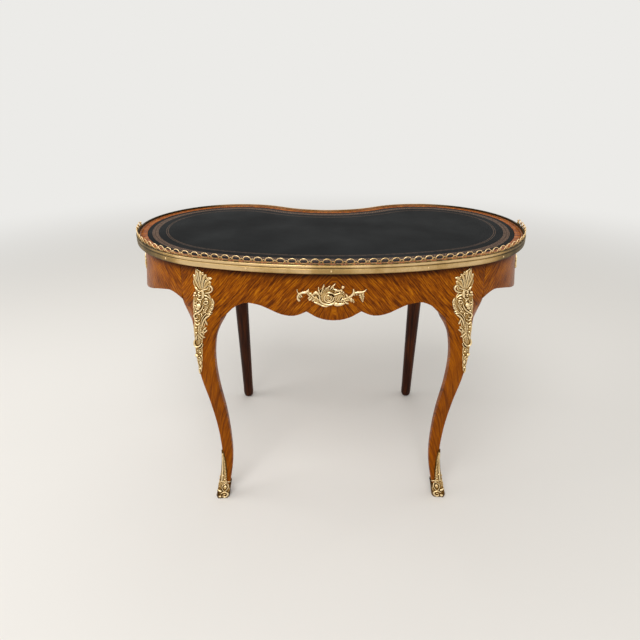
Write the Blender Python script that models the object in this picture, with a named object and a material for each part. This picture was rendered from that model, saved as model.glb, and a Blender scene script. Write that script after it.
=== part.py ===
# Kidney shaped writing desk: veneered carcass, leathered top in a brass edge with a pierced gallery,
# two cabriole front legs with gilt mounts, two turned rear legs and a drawer on the sitter's side.
# Metres, +Z up, the convex front towards -Y. The origin is on the floor under the middle of the top.

import bmesh
import bpy
from math import atan2, cos, pi, radians, sin
from mathutils import Vector
from mathutils.geometry import delaunay_2d_cdt

# Overall size
DESK_WIDTH = 1.088
DESK_DEPTH = 0.617
DESK_HEIGHT = 0.748

# Plan of the kidney: tangent arcs at the ends and lobes, a shallow front arc and a hollow rear arc.
# The lobes are as round as the depth allows, and the ends as what the lobes leave of it.
LOBE_ROUND_SHARE = 0.4138
END_ROUND_SHARE = 0.9007
LOBE_RADIUS = DESK_DEPTH * LOBE_ROUND_SHARE
END_RADIUS = (DESK_DEPTH - LOBE_RADIUS) * END_ROUND_SHARE
WAIST_RECESS = 0.087

# Clearances
GAP = 0.0003
OVERRUN = 0.004
EPSILON = 1e-7
SEARCH_STEPS = 60

# Top
TOP_THICKNESS = 0.0170
EDGE_HEIGHT = 0.0210
EDGE_WIDTH = 0.0065
LIPPING_WIDTH = 0.0055
FINISH_THICKNESS = 0.0015
CROSSBAND_WIDTH = 0.0163

# Brass pins through the edge moulding
PIN_DISTANCES = (-0.403, -0.201, -0.008, 0.214, 0.412)
PIN_HEAD_RADIUS = 0.0023
PIN_HEAD_HEIGHT = 0.0012
PIN_SHANK_RADIUS = 0.0009
PIN_SHANK_LENGTH = 0.0180
PIN_HOLE_CLEARANCE = 0.0003

# Pierced gallery
GALLERY_SECTIONS = 5
RING_PITCH = 0.0255
GALLERY_INSET = 0.0033
GALLERY_SHIFT = 0.0084
GALLERY_THICKNESS = 0.0024
FOOT_WIDTH = 0.0120
FOOT_HEIGHT = 0.0034
RING_HEIGHT = 0.0148
RING_WIDTH = 0.0190
RING_BAR = 0.0027
LINK_HEIGHT = 0.0070
LINK_LIFT = 0.0026

# Frieze
WALL_INSET = 0.0180
APRON_THICKNESS = 0.0180
APRON_HEIGHT = 0.1230
FLARE_DEPTH = 0.0110
APRON_STEP = 0.0100

# Front legs
ARRIS_TO_END = 0.2235
ARRIS_PROUD = 0.0030
FRONT_POST_TO_APRON = 0.0500
FRONT_POST_TO_SIDE = 0.0560
POST_DEPTH = 0.0450
KNEE_WIDTH = 0.0545
KNEE_REACH_X = 0.0335
KNEE_REACH_Y = 0.0105
LEG_STEP = 0.0270

# Rear legs
REAR_FOOT_RADIUS = 0.0185
REAR_POST_WIDTH = 0.0540
REAR_POST_HEIGHT = 0.1250
REAR_POST_TAPER = 0.0140
REAR_LEG_RAKE_LENGTH = 0.0137
REAR_LEG_TO_LOBE_END = 0.0262

# Gilt mounts
MOUNT_THICKNESS = 0.0026
MOUNT_RELIEF = 0.0034
MOUNT_GAP = 0.0006
CORNER_MOUNT_TOP_DEPTH = 0.0090
CORNER_MOUNT_LENGTH = 0.3010
CORNER_MOUNT_WIDTH = 0.0440
CARTOUCHE_LENGTH = 0.1560
CARTOUCHE_HEIGHT = 0.0560
CARTOUCHE_CENTRE_DEPTH = 0.0570
CARTOUCHE_SHIFT = -0.0040
SABOT_WALL = 0.0028
SABOT_SOLE = 0.0060
SABOT_CAP_HEIGHT = 0.0420
SABOT_TOE_REACH = 0.0070
SABOT_LEAF_TOP = 0.1500
SABOT_LEAF_WIDTH = 0.0130

# Drawer on the sitter's side
REAR_APRON_WIDTH = 0.0938
DRAWER_FRONT_HEIGHT = 0.0760
DRAWER_FRONT_THICKNESS = 0.0200
DRAWER_CLEARANCE = 0.0012
DRAWER_FRONT_LIP = 0.0220
DRAWER_TAIL_ROOM = 0.0956
DRAWER_SIDE_THICKNESS = 0.0100
DRAWER_SIDE_HEIGHT = 0.0600
DRAWER_BOTTOM_THICKNESS = 0.0060
DRAWER_BOTTOM_LIFT = 0.0050
RUNNER_THICKNESS = 0.0080
RUNNER_LIP = 0.0080
RUNNER_LIP_HEIGHT = 0.0160
KICKER_WIDTH = 0.0180
STOP_SIZE = 0.0140
KNOB_RADIUS = 0.0130
KNOB_LENGTH = 0.0240
KNOB_SHANK_RADIUS = 0.0030
LOWER_RAIL_THICKNESS = 0.0220

# Glue blocks under the top
BLOCK_WIDTH = 0.0160
BLOCK_LENGTH = 0.0500
BLOCK_TO_KICKER = 0.0120

# Levels
TOP_UNDERSIDE = DESK_HEIGHT - TOP_THICKNESS
WOOD_TOP = TOP_UNDERSIDE - GAP
BOARD_TOP = DESK_HEIGHT - FINISH_THICKNESS - GAP
LIPPING_INSET = EDGE_WIDTH + GAP
BOARD_INSET = LIPPING_INSET + LIPPING_WIDTH + GAP

# Places along the rim, where the front arc is 0 to 1, the end 1 to 2, the lobe 2 to 3 and the hollow 3 to 4
GALLERY_END_SHARE = 1.960
END_MOUNT_SHARE = 1.900
ARC_STEPS = (6, 12, 18, 6)

for old in list(bpy.data.objects):
    bpy.data.objects.remove(old, do_unlink=True)


# Materials

def material(name, colour, roughness, metallic=0.0):
    made = bpy.data.materials.new(name)
    made.use_nodes = True
    shader = made.node_tree.nodes["Principled BSDF"]
    shader.inputs["Base Color"].default_value = (*colour, 1.0)
    shader.inputs["Roughness"].default_value = roughness
    shader.inputs["Metallic"].default_value = metallic
    return made


VENEER = ((0.36, 0.13, 0.025), 0.28)
DARK_VENEER = ((0.12, 0.035, 0.010), 0.28)
DARK_WOOD = ((0.035, 0.010, 0.005), 0.35)
CARCASS_WOOD = ((0.42, 0.27, 0.14), 0.60)
LEATHER = ((0.018, 0.019, 0.021), 0.45)
BRASS = ((0.62, 0.47, 0.20), 0.30, 1.0)
GILT = ((0.72, 0.58, 0.32), 0.32, 1.0)


# Plan of the kidney

def kidney_arcs():
    half = DESK_WIDTH / 2
    front = -DESK_DEPTH / 2
    axis_y = DESK_DEPTH / 2 - LOBE_RADIUS
    side_x = half - END_RADIUS
    lobe_x = half - LOBE_RADIUS
    rise = axis_y - front
    front_radius = (side_x ** 2 + rise ** 2 - END_RADIUS ** 2) / (2 * (rise - END_RADIUS))
    front_centre = Vector((0, front + front_radius))
    side_centre = Vector((side_x, axis_y))
    lobe_centre = Vector((lobe_x, axis_y))
    dip = DESK_DEPTH / 2 - WAIST_RECESS - axis_y
    hollow_radius = (lobe_x ** 2 + dip ** 2 - LOBE_RADIUS ** 2) / (2 * (LOBE_RADIUS - dip))
    hollow_centre = Vector((0, axis_y + dip + hollow_radius))
    to_side = side_centre - front_centre
    to_hollow = hollow_centre - lobe_centre
    front_turn = atan2(to_side.y, to_side.x)
    lobe_turn = atan2(to_hollow.y, to_hollow.x)
    return ((front_centre, front_radius, -pi / 2, front_turn, 1),
            (side_centre, END_RADIUS, front_turn, 0.0, 1),
            (lobe_centre, LOBE_RADIUS, 0.0, lobe_turn, 1),
            (hollow_centre, hollow_radius, lobe_turn - pi, -pi / 2, -1))


ARCS = kidney_arcs()
REARMOST_PLACE = 2 + pi / 2 / ARCS[2][3]


def rim(place, inset=0.0):
    # A point of the outline moved inwards by inset; a negative place is on the left half
    size = min(abs(place), len(ARCS))
    arc = min(int(size), len(ARCS) - 1)
    centre, radius, start, end, bulge = ARCS[arc]
    angle = start + (end - start) * (size - arc)
    reach = radius - bulge * inset
    spot = centre + reach * Vector((cos(angle), sin(angle)))
    if place < 0:
        spot.x = -spot.x
    return spot


def rim_normal(place):
    size = min(abs(place), len(ARCS))
    arc = min(int(size), len(ARCS) - 1)
    start, end, bulge = ARCS[arc][2:]
    angle = start + (end - start) * (size - arc)
    normal = bulge * Vector((cos(angle), sin(angle)))
    if place < 0:
        normal.x = -normal.x
    return normal


def walk(place, distance, inset=0.0):
    # The place a distance further along the rim, measured on the inset line
    reached = place
    while abs(distance) > EPSILON:
        arc = min(int(abs(reached) + (EPSILON if distance * reached > 0 else -EPSILON)), len(ARCS) - 1)
        arc = max(arc, 0)
        centre, radius, start, end, bulge = ARCS[arc]
        length = abs(end - start) * (radius - bulge * inset)
        if distance * reached >= 0:
            room = (arc + 1 - abs(reached)) * length
        else:
            room = (abs(reached) - arc) * length
        part = min(abs(distance), room)
        sign = 1 if distance > 0 else -1
        reached += sign * part / length
        distance -= sign * part
        if room < EPSILON:
            reached += sign * EPSILON
    return reached


def rim_length(first, last, inset=0.0):
    total = 0.0
    for arc, (centre, radius, start, end, bulge) in enumerate(ARCS):
        length = abs(end - start) * (radius - bulge * inset)
        for low, high in ((arc, arc + 1), (-arc - 1, -arc)):
            total += max(0.0, min(last, high) - max(first, low)) * length
    return total


def all_stops():
    right = [arc + step / steps for arc, steps in enumerate(ARC_STEPS) for step in range(steps)]
    left = [-place for place in right[1:]]
    return sorted(left + right + [float(len(ARCS))])


def even_stops(first, last, step, inset):
    # Places a fixed distance apart from first to last
    length = rim_length(first, last, inset)
    count = max(2, round(length / step))
    stops = [first]
    for index in range(1, count):
        stops.append(walk(first, length * index / count, inset))
    return stops + [last]


def rear_y(x, inset):
    # Depth of the sitter's side at x
    lobe_centre, lobe_radius = ARCS[2][:2]
    hollow_centre, hollow_radius, hollow_start = ARCS[3][:3]
    reach = hollow_radius + inset
    if abs(x) <= reach * cos(hollow_start):
        return hollow_centre.y - (reach ** 2 - x ** 2) ** 0.5
    return lobe_centre.y + ((lobe_radius - inset) ** 2 - (abs(x) - lobe_centre.x) ** 2) ** 0.5


def rear_place(x, inset):
    # The place on the lobe or the hollow whose point has this x
    low, high = REARMOST_PLACE, float(len(ARCS))
    for _ in range(SEARCH_STEPS):
        middle = (low + high) / 2
        if rim(middle, inset).x > abs(x):
            low = middle
        else:
            high = middle
    return low if x >= 0 else -low


def front_place(x, inset):
    # The place on the front arc or the start of an end whose point has this x
    low, high = 0.0, 2.0
    for _ in range(SEARCH_STEPS):
        middle = (low + high) / 2
        if rim(middle, inset).x < abs(x):
            low = middle
        else:
            high = middle
    return low if x >= 0 else -low


ARRIS_PLACE = front_place(DESK_WIDTH / 2 - ARRIS_TO_END, WALL_INSET)
REAR_LEG_PLACE = walk(REARMOST_PLACE, -REAR_LEG_TO_LOBE_END, WALL_INSET)
REAR_POST_START = walk(REAR_LEG_PLACE, -REAR_POST_WIDTH / 2, WALL_INSET)
REAR_POST_END = walk(REAR_LEG_PLACE, REAR_POST_WIDTH / 2, WALL_INSET)

# The drawer's width is what the rear legs and the rear aprons leave
OPENING_HALF_WIDTH = rim(REAR_POST_END, WALL_INSET).x - REAR_APRON_WIDTH
DRAWER_HALF_WIDTH = OPENING_HALF_WIDTH - DRAWER_CLEARANCE
BOX_HALF_WIDTH = DRAWER_HALF_WIDTH - DRAWER_FRONT_LIP


# Smooth curves through tables

def smooth(table, at):
    # Catmull-Rom value of a table of (position, value) pairs
    positions = [row[0] for row in table]
    values = [row[1] for row in table]
    if at <= positions[0]:
        return values[0]
    if at >= positions[-1]:
        return values[-1]
    index = max(i for i in range(len(table) - 1) if positions[i] <= at)
    slopes = []
    for i in (index, index + 1):
        before = max(i - 1, 0)
        after = min(i + 1, len(table) - 1)
        slopes.append((values[after] - values[before]) / (positions[after] - positions[before]))
    span = positions[index + 1] - positions[index]
    t = (at - positions[index]) / span
    rise = values[index + 1] - values[index]
    return (values[index] + span * slopes[0] * t * (1 - t) ** 2
            - span * slopes[1] * t * t * (1 - t) + rise * t * t * (3 - 2 * t))


# Mesh helpers

def make_object(name, vertices, faces, look, sharp_angle=35):
    mesh = bpy.data.meshes.new(name)
    mesh.from_pydata([tuple(v) for v in vertices], [], faces)
    shape = bmesh.new()
    shape.from_mesh(mesh)
    bmesh.ops.remove_doubles(shape, verts=shape.verts, dist=EPSILON)
    bmesh.ops.recalc_face_normals(shape, faces=shape.faces)
    shape.to_mesh(mesh)
    shape.free()
    mesh.shade_smooth()
    mesh.set_sharp_from_angle(angle=radians(sharp_angle))
    made = bpy.data.objects.new(name, mesh)
    bpy.context.collection.objects.link(made)
    mesh.materials.append(material(name, *look))
    return made


def skin(rings, closed=False, split=False):
    # Faces that join rings of the same number of points, with capped ends unless the rings close up.
    # Twisted faces are split the same way on every piece, so that nested pieces stay apart.
    vertices = [point for ring in rings for point in ring]
    size = len(rings[0])
    count = len(rings)
    faces = []
    for level in range(count if closed else count - 1):
        after = (level + 1) % count
        for i in range(size):
            j = (i + 1) % size
            face = (level * size + i, level * size + j, after * size + j, after * size + i)
            faces += [face[:3], (face[0], face[2], face[3])] if split else [face]
    if not closed:
        faces.append(tuple(range(size)))
        faces.append(tuple((count - 1) * size + i for i in range(size)))
    return vertices, faces


def mirrored(points):
    return [Vector((-point[0], *point[1:])) for point in points]


def prism(name, outline, bottom, top, look):
    rings = [[(x, y, z) for x, y in outline] for z in (bottom, top)]
    return make_object(name, *skin(rings), look)


def box(name, low, high, look):
    outline = [(low[0], low[1]), (high[0], low[1]), (high[0], high[1]), (low[0], high[1])]
    return prism(name, outline, low[2], high[2], look)


def turned(profile, base, axis, sides):
    # Rings of a turned piece: profile rows are (distance along the axis, radius)
    axis = Vector(axis).normalized()
    across = axis.orthogonal().normalized()
    up = axis.cross(across)
    rings = []
    for distance, radius in profile:
        centre = Vector(base) + axis * distance
        rings.append([centre + radius * (across * cos(2 * pi * i / sides) + up * sin(2 * pi * i / sides))
                      for i in range(sides)])
    return rings


def cutter(name, vertices, faces):
    made = make_object(name, vertices, faces, BRASS)
    made.display_type = "WIRE"
    made.hide_render = True
    return made


def cut(target, tool, operation="DIFFERENCE"):
    modifier = target.modifiers.new(tool.name, "BOOLEAN")
    modifier.operation = operation
    modifier.object = tool
    modifier.solver = "EXACT"


# Top

def outline_at(inset):
    return [rim(place, inset) for place in all_stops()[:-1]]


# Section of the dark lipping, as shares of its width inwards and of the top's thickness
LIPPING_SECTION_SHARES = ((0.00, 0.00), (1.00, 0.00), (1.00, 1.00), (0.45, 0.985), (0.12, 0.92), (0.00, 0.80))


def make_top():
    board = prism("top_board", outline_at(BOARD_INSET), TOP_UNDERSIDE, BOARD_TOP, CARCASS_WOOD)
    rings = []
    for place in all_stops()[:-1]:
        ring = []
        for inwards, up in LIPPING_SECTION_SHARES:
            spot = rim(place, LIPPING_INSET + LIPPING_WIDTH * inwards)
            ring.append((*spot, TOP_UNDERSIDE + TOP_THICKNESS * up))
        rings.append(ring)
    lipping = make_object("top_lipping", *skin(rings, closed=True), DARK_VENEER)
    finish_bottom = BOARD_TOP + GAP
    outer = outline_at(BOARD_INSET)
    inner = outline_at(BOARD_INSET + CROSSBAND_WIDTH)
    rings = []
    for a, b in zip(outer, inner):
        rings.append([(*a, finish_bottom), (*a, DESK_HEIGHT), (*b, DESK_HEIGHT), (*b, finish_bottom)])
    make_object("top_crossbanding", *skin(rings, closed=True), VENEER)
    leather = outline_at(BOARD_INSET + CROSSBAND_WIDTH + GAP)
    prism("leather_inset", leather, finish_bottom, DESK_HEIGHT, LEATHER)
    return board, lipping


# Section of the brass edge, as shares of its width outwards and its height upwards
EDGE_SECTION_SHARES = ((0.00, 0.00), (0.80, 0.00), (1.00, 0.14), (1.00, 0.46), (0.78, 0.59), (0.78, 0.67),
                       (0.97, 0.73), (0.97, 0.92), (0.84, 1.00), (0.00, 1.00))
PIN_LEVEL_SHARE = 0.34
PIN_SIDES = 8
# Domed head: share of the head's height, share of its radius
PIN_DOME_SHARES = ((0.0, 1.00), (0.5, 0.85), (1.0, 0.35))


def make_edge():
    rings = []
    for place in all_stops()[:-1]:
        ring = []
        for out, up in EDGE_SECTION_SHARES:
            spot = rim(place, EDGE_WIDTH * (1 - out))
            ring.append((*spot, TOP_UNDERSIDE + EDGE_HEIGHT * up))
        rings.append(ring)
    return make_object("edge_moulding", *skin(rings, closed=True), BRASS)


def make_pins(pierced):
    level = TOP_UNDERSIDE + EDGE_HEIGHT * PIN_LEVEL_SHARE
    dome = [(PIN_HEAD_HEIGHT * up, PIN_HEAD_RADIUS * out) for up, out in PIN_DOME_SHARES]
    profile = [(-PIN_SHANK_LENGTH, PIN_SHANK_RADIUS), (0.0, PIN_SHANK_RADIUS)] + dome
    hole_radius = PIN_SHANK_RADIUS + PIN_HOLE_CLEARANCE
    hole_length = PIN_SHANK_LENGTH + OVERRUN
    vertices = []
    faces = []
    front_places = [front_place(distance, 0.0) for distance in PIN_DISTANCES]
    for number, place in enumerate((-REARMOST_PLACE, *front_places, REARMOST_PLACE), 1):
        normal = rim_normal(place)
        seat = Vector((*(rim(place) + normal * GAP), level))
        axis = Vector((*normal, 0.0))
        make_object(f"edge_pin_{number}", *skin(turned(profile, seat, axis, PIN_SIDES)), BRASS)
        hole = skin(turned([(-hole_length, hole_radius), (OVERRUN, hole_radius)], seat, axis, PIN_SIDES))
        faces += [tuple(len(vertices) + i for i in face) for face in hole[1]]
        vertices += hole[0]
    drill = cutter("pin_drill", vertices, faces)
    for piece in pierced:
        cut(piece, drill)


# Gallery: oval rings on feet, joined by links, cut from one strip and bent round the rim

RING_SIDES = 8
LINK_SIDES = 6


def ellipse(x, y, half_width, half_height, sides):
    turns = [pi * (2 * i + 1) / sides for i in range(sides)]
    return [(x + half_width * cos(turn), y + half_height * sin(turn)) for turn in turns]


def rectangle(left, right, low, high):
    return [(left, low), (right, low), (right, high), (left, high)]


def inside(point, outline):
    x, y = point
    odd = False
    for (ax, ay), (bx, by) in zip(outline, outline[1:] + outline[:1]):
        if (ay > y) != (by > y) and x < (bx - ax) * (y - ay) / (by - ay) + ax:
            odd = not odd
    return odd


def cut_sheet(solids, holes):
    # Triangles of the flat shape that covers every solid outline and no hole
    points = []
    edges = []
    for outline in solids + holes:
        start = len(points)
        points += [Vector(point) for point in outline]
        edges += [(start + i, start + (i + 1) % len(outline)) for i in range(len(outline))]
    found = delaunay_2d_cdt(points, edges, [], 0, EPSILON)
    flat, faces = found[0], found[2]
    kept = []
    for face in faces:
        centre = sum((flat[i] for i in face), Vector((0, 0))) / len(face)
        if any(inside(centre, solid) for solid in solids) and not any(inside(centre, hole) for hole in holes):
            kept.append(tuple(face))
    used = sorted({i for face in kept for i in face})
    number = {old: new for new, old in enumerate(used)}
    return [flat[i] for i in used], [tuple(number[i] for i in face) for face in kept]


def thicken(flat, faces, place_front, place_back):
    # A closed body from a flat sheet, its two sides laid out by the given functions
    count = len(flat)
    vertices = [place_front(point) for point in flat] + [place_back(point) for point in flat]
    sides = {}
    for face in faces:
        for a, b in zip(face, face[1:] + face[:1]):
            sides[(a, b)] = True
    made = [tuple(face) for face in faces] + [tuple(i + count for i in reversed(face)) for face in faces]
    for a, b in sides:
        if (b, a) not in sides:
            made.append((b, a, a + count, b + count))
    return vertices, made


def make_gallery():
    first = walk(-GALLERY_END_SHARE, GALLERY_SHIFT, GALLERY_INSET)
    total = rim_length(-GALLERY_END_SHARE, GALLERY_END_SHARE, GALLERY_INSET)
    section_rings = round(total / (GALLERY_SECTIONS * RING_PITCH))
    pitch = total / (GALLERY_SECTIONS * section_rings)
    base = TOP_UNDERSIDE + EDGE_HEIGHT + GAP
    link_reach = (pitch - RING_WIDTH * cos(pi / RING_SIDES) + RING_BAR) / 2
    link_half = link_reach / cos(pi / LINK_SIDES)
    link_middle = LINK_LIFT + LINK_HEIGHT / 2
    half_width = RING_WIDTH / 2
    half_height = RING_HEIGHT / 2
    middle = FOOT_HEIGHT - RING_BAR + half_height
    for section in range(GALLERY_SECTIONS):
        start = section * section_rings * pitch + GAP / 2
        end = (section + 1) * section_rings * pitch - GAP / 2
        solids = []
        holes = []
        for index in range(section_rings):
            centre = (section * section_rings + index + 0.5) * pitch
            solids.append(ellipse(centre, middle, half_width, half_height, RING_SIDES))
            holes.append(ellipse(centre, middle, half_width - RING_BAR, half_height - RING_BAR, RING_SIDES))
            solids.append(rectangle(centre - FOOT_WIDTH / 2, centre + FOOT_WIDTH / 2, 0.0, FOOT_HEIGHT))
            if index > 0:
                link = centre - pitch / 2
                solids.append(ellipse(link, link_middle, link_half, LINK_HEIGHT / 2, LINK_SIDES))
        for edge, inwards in ((start, 1), (end, -1)):
            reach = edge + inwards * link_reach
            solids.append(rectangle(min(edge, reach), max(edge, reach), LINK_LIFT, link_middle))
        flat, faces = cut_sheet(solids, holes)

        def bend(inset):
            def lay(point):
                return Vector((*rim(walk(first, point.x, GALLERY_INSET), inset), base + point.y))
            return lay

        half = GALLERY_THICKNESS / 2
        solid = thicken(flat, faces, bend(GALLERY_INSET - half), bend(GALLERY_INSET + half))
        make_object(f"gallery_section_{section + 1}", *solid, BRASS)


# Frieze

# Flare of the frieze: share of the drop, share of the flare, straight in between
FLARE_SHARES = ((0.00, 0.00), (0.40, 0.18), (1.00, 1.00))
# Flare along the rim: place, share of the flare
FLARE_PLACE_SHARES = ((0.00, 0.00), (0.50, 0.15), (0.90, 0.75), (1.10, 1.00), (2.00, 1.00), (2.35, 0.60),
                      (2.58, 0.00))


def wall_inset(place, level):
    # Inset of the frieze's outer face at a height
    drop = (TOP_UNDERSIDE - level) / APRON_HEIGHT
    last = len(FLARE_SHARES) - 1
    after = next((i for i in range(1, last) if FLARE_SHARES[i][0] >= drop), last)
    (near, low), (far, high) = FLARE_SHARES[after - 1:after + 1]
    share = low + (high - low) * (drop - near) / (far - near)
    return WALL_INSET - FLARE_DEPTH * max(0.0, share) * smooth(FLARE_PLACE_SHARES, abs(place))


def plate(name, outer, inner, lows, high, look=VENEER):
    # An upright curved board between two plan lines, with its own lower edge
    rings = []
    for a, b, low in zip(outer, inner, lows):
        rings.append([(*a, low), (*a, high), (*b, high), (*b, low)])
    return make_object(name, *skin(rings), look)


# Lower edge of the front apron from the middle to the leg: share of the half length, share of the drop
FRONT_LOBE_SHARES = ((0.000, 1.000), (0.062, 0.992), (0.147, 0.935), (0.235, 0.817))
FRONT_WAVE_SHARES = ((0.235, 0.817), (0.305, 0.894), (0.371, 0.923), (0.466, 0.890), (0.550, 0.809),
                     (0.635, 0.732), (0.700, 0.703), (0.750, 0.695), (0.796, 0.715), (0.875, 0.809),
                     (0.950, 0.976), (1.000, 1.085))
# Lower edge of a side apron from the front leg to the rear leg
SIDE_EDGE_SHARES = ((0.000, 0.720), (0.030, 0.690), (0.065, 0.670), (0.100, 0.700), (0.155, 0.770),
                    (0.220, 0.870), (0.300, 0.970), (0.380, 1.040), (0.500, 1.080), (0.620, 1.040),
                    (0.720, 0.950), (0.800, 0.800), (0.870, 0.710), (0.930, 0.740), (0.970, 0.850),
                    (1.000, 0.960))
# Lower edge of the sitter's side from the rear leg to the drawer
REAR_EDGE_SHARES = ((0.000, 0.960), (0.120, 0.800), (0.300, 0.720), (0.550, 0.760), (0.800, 0.840),
                    (1.000, 0.880))


def front_apron_places():
    # Where the front leg's post meets the two aprons
    to_front = walk(ARRIS_PLACE, -FRONT_POST_TO_APRON, WALL_INSET)
    to_side = walk(ARRIS_PLACE, FRONT_POST_TO_SIDE, WALL_INSET)
    return to_front, to_side


def curved_apron(name, first, last, drop):
    stops = even_stops(first, last, APRON_STEP, WALL_INSET)
    length = rim_length(first, last, WALL_INSET)
    lows = []
    for place in stops:
        lows.append(TOP_UNDERSIDE - APRON_HEIGHT * drop(rim_length(first, place, WALL_INSET) / length))
    bend_level = TOP_UNDERSIDE - APRON_HEIGHT * FLARE_SHARES[1][0]
    rings = []
    for place, low in zip(stops, lows):
        ring = [(*rim(place, wall_inset(place, level)), level) for level in (low, bend_level, WOOD_TOP)]
        inner = rim(place, WALL_INSET + APRON_THICKNESS)
        rings.append(ring + [(*inner, WOOD_TOP), (*inner, low)])
    return make_object(name, *skin(rings), VENEER)


def make_aprons():
    front_end, side_start = front_apron_places()

    def front_drop(share):
        outwards = abs(2 * share - 1)
        table = FRONT_LOBE_SHARES if outwards < FRONT_WAVE_SHARES[0][0] else FRONT_WAVE_SHARES
        return smooth(table, outwards)

    def side_drop(share):
        return smooth(SIDE_EDGE_SHARES, share)

    joint = walk(front_end, -GAP, WALL_INSET)
    curved_apron("front_apron", -joint, joint, front_drop)
    first = walk(side_start, GAP, WALL_INSET)
    last = walk(REAR_POST_START, -GAP, WALL_INSET)
    curved_apron("side_apron_right", first, last, side_drop)
    curved_apron("side_apron_left", -last, -first, lambda share: side_drop(1 - share))


def make_rear_aprons():
    rear_end = walk(REAR_POST_END, GAP, WALL_INSET)
    inner_inset = WALL_INSET + APRON_THICKNESS
    outer_last = rear_place(OPENING_HALF_WIDTH, WALL_INSET)
    inner_last = rear_place(OPENING_HALF_WIDTH, inner_inset)
    length = rim_length(rear_end, outer_last, WALL_INSET)
    count = round(length / APRON_STEP)
    outer = []
    inner = []
    lows = []
    for index in range(count + 1):
        share = index / count
        outer.append(rim(rear_end + (outer_last - rear_end) * share, WALL_INSET))
        inner.append(rim(rear_end + (inner_last - rear_end) * share, inner_inset))
        lows.append(TOP_UNDERSIDE - APRON_HEIGHT * smooth(REAR_EDGE_SHARES, share))
    plate("rear_apron_right", outer, inner, lows, WOOD_TOP)
    plate("rear_apron_left", mirrored(outer), mirrored(inner), lows, WOOD_TOP)


def even_xs(half, step):
    # Distances to the right of the middle, evenly spread over both halves
    count = 2 * max(2, round(half / step))
    return [-half + 2 * half * index / count for index in range(count + 1)]


def drawer_top_level():
    return WOOD_TOP - DRAWER_CLEARANCE


def drawer_front_bottom():
    return drawer_top_level() - DRAWER_FRONT_HEIGHT


def make_lower_rail():
    half = OPENING_HALF_WIDTH - GAP
    xs = even_xs(half, APRON_STEP)
    outer = [Vector((x, rear_y(x, WALL_INSET))) for x in xs]
    inner = [Vector((x, rear_y(x, WALL_INSET + LOWER_RAIL_THICKNESS))) for x in xs]
    edge_drop = REAR_EDGE_SHARES[-1][1]
    middle_drop = FRONT_LOBE_SHARES[0][1]
    lows = []
    for x in xs:
        share = 1 - abs(x) / half
        drop = edge_drop + (middle_drop - edge_drop) * share * (2 - share)
        lows.append(TOP_UNDERSIDE - APRON_HEIGHT * drop)
    plate("lower_rail", outer, inner, lows, drawer_front_bottom() - DRAWER_CLEARANCE)


# Front legs

# Along the leg, as shares of its height: the arris outwards, the arris forwards and the leg's width
LEG_OUT_SHARES = ((0.000, 0.400), (0.040, 0.290), (0.090, 0.090), (0.140, -0.060), (0.204, -0.080),
                  (0.243, -0.030), (0.305, 0.050), (0.363, 0.170), (0.420, 0.310), (0.486, 0.490),
                  (0.534, 0.650), (0.571, 0.740), (0.625, 0.800), (0.684, 0.840), (0.760, 0.820),
                  (0.821, 0.710), (0.900, 0.360), (1.000, 0.000))
LEG_FORWARD_SHARES = ((0.000, 1.480), (0.041, 0.880), (0.082, 0.100), (0.137, -0.860), (0.204, -1.860),
                      (0.274, -2.090), (0.335, -1.950), (0.420, -1.330), (0.486, -0.620), (0.534, 0.000),
                      (0.571, 0.430), (0.625, 0.860), (0.684, 1.000), (0.760, 0.900), (0.821, 0.660),
                      (0.900, 0.330), (1.000, 0.000))
LEG_WIDTH_SHARES = ((0.000, 0.480), (0.040, 0.490), (0.082, 0.500), (0.140, 0.515), (0.204, 0.535),
                    (0.305, 0.575), (0.400, 0.625), (0.486, 0.655), (0.560, 0.735), (0.625, 0.775),
                    (0.684, 0.850), (0.760, 1.030), (0.830, 1.220), (1.000, 1.350))
# Blend from the square leg to the post that stands between the aprons, on the front and on the side
FRONT_BLEND_SHARES = ((0.750, 0.0), (0.790, 0.45), (0.825, 1.0))
SIDE_BLEND_SHARES = ((0.740, 0.0), (0.800, 0.50), (0.840, 0.80), (0.875, 1.0))
# A square leg seen from above: 0,0 is its inner front corner and 1,0 its arris
SQUARE_SHARES = ((0.00, 0.17), (0.13, 0.01), (0.38, -0.02), (0.68, -0.03), (0.95, 0.00), (1.00, 0.05),
                 (1.03, 0.32), (1.02, 0.62), (0.99, 0.87), (0.83, 1.00), (0.52, 1.00), (0.24, 0.99),
                 (0.07, 0.92), (0.01, 0.76), (-0.01, 0.46))
# Points of a leg's ring that meet at the arris, and the ones at its inner front and outer rear corners
ARRIS_POINTS = (4, 5)
FRONT_CORNER_POINT = 0
SIDE_CORNER_POINT = 8


def leg_arris(level):
    # Plan point of the right leg's arris at a height
    share = level / WOOD_TOP
    top = rim(ARRIS_PLACE, WALL_INSET - ARRIS_PROUD)
    return Vector((top.x + KNEE_REACH_X * smooth(LEG_OUT_SHARES, share),
                   top.y - KNEE_REACH_Y * smooth(LEG_FORWARD_SHARES, share)))


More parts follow.
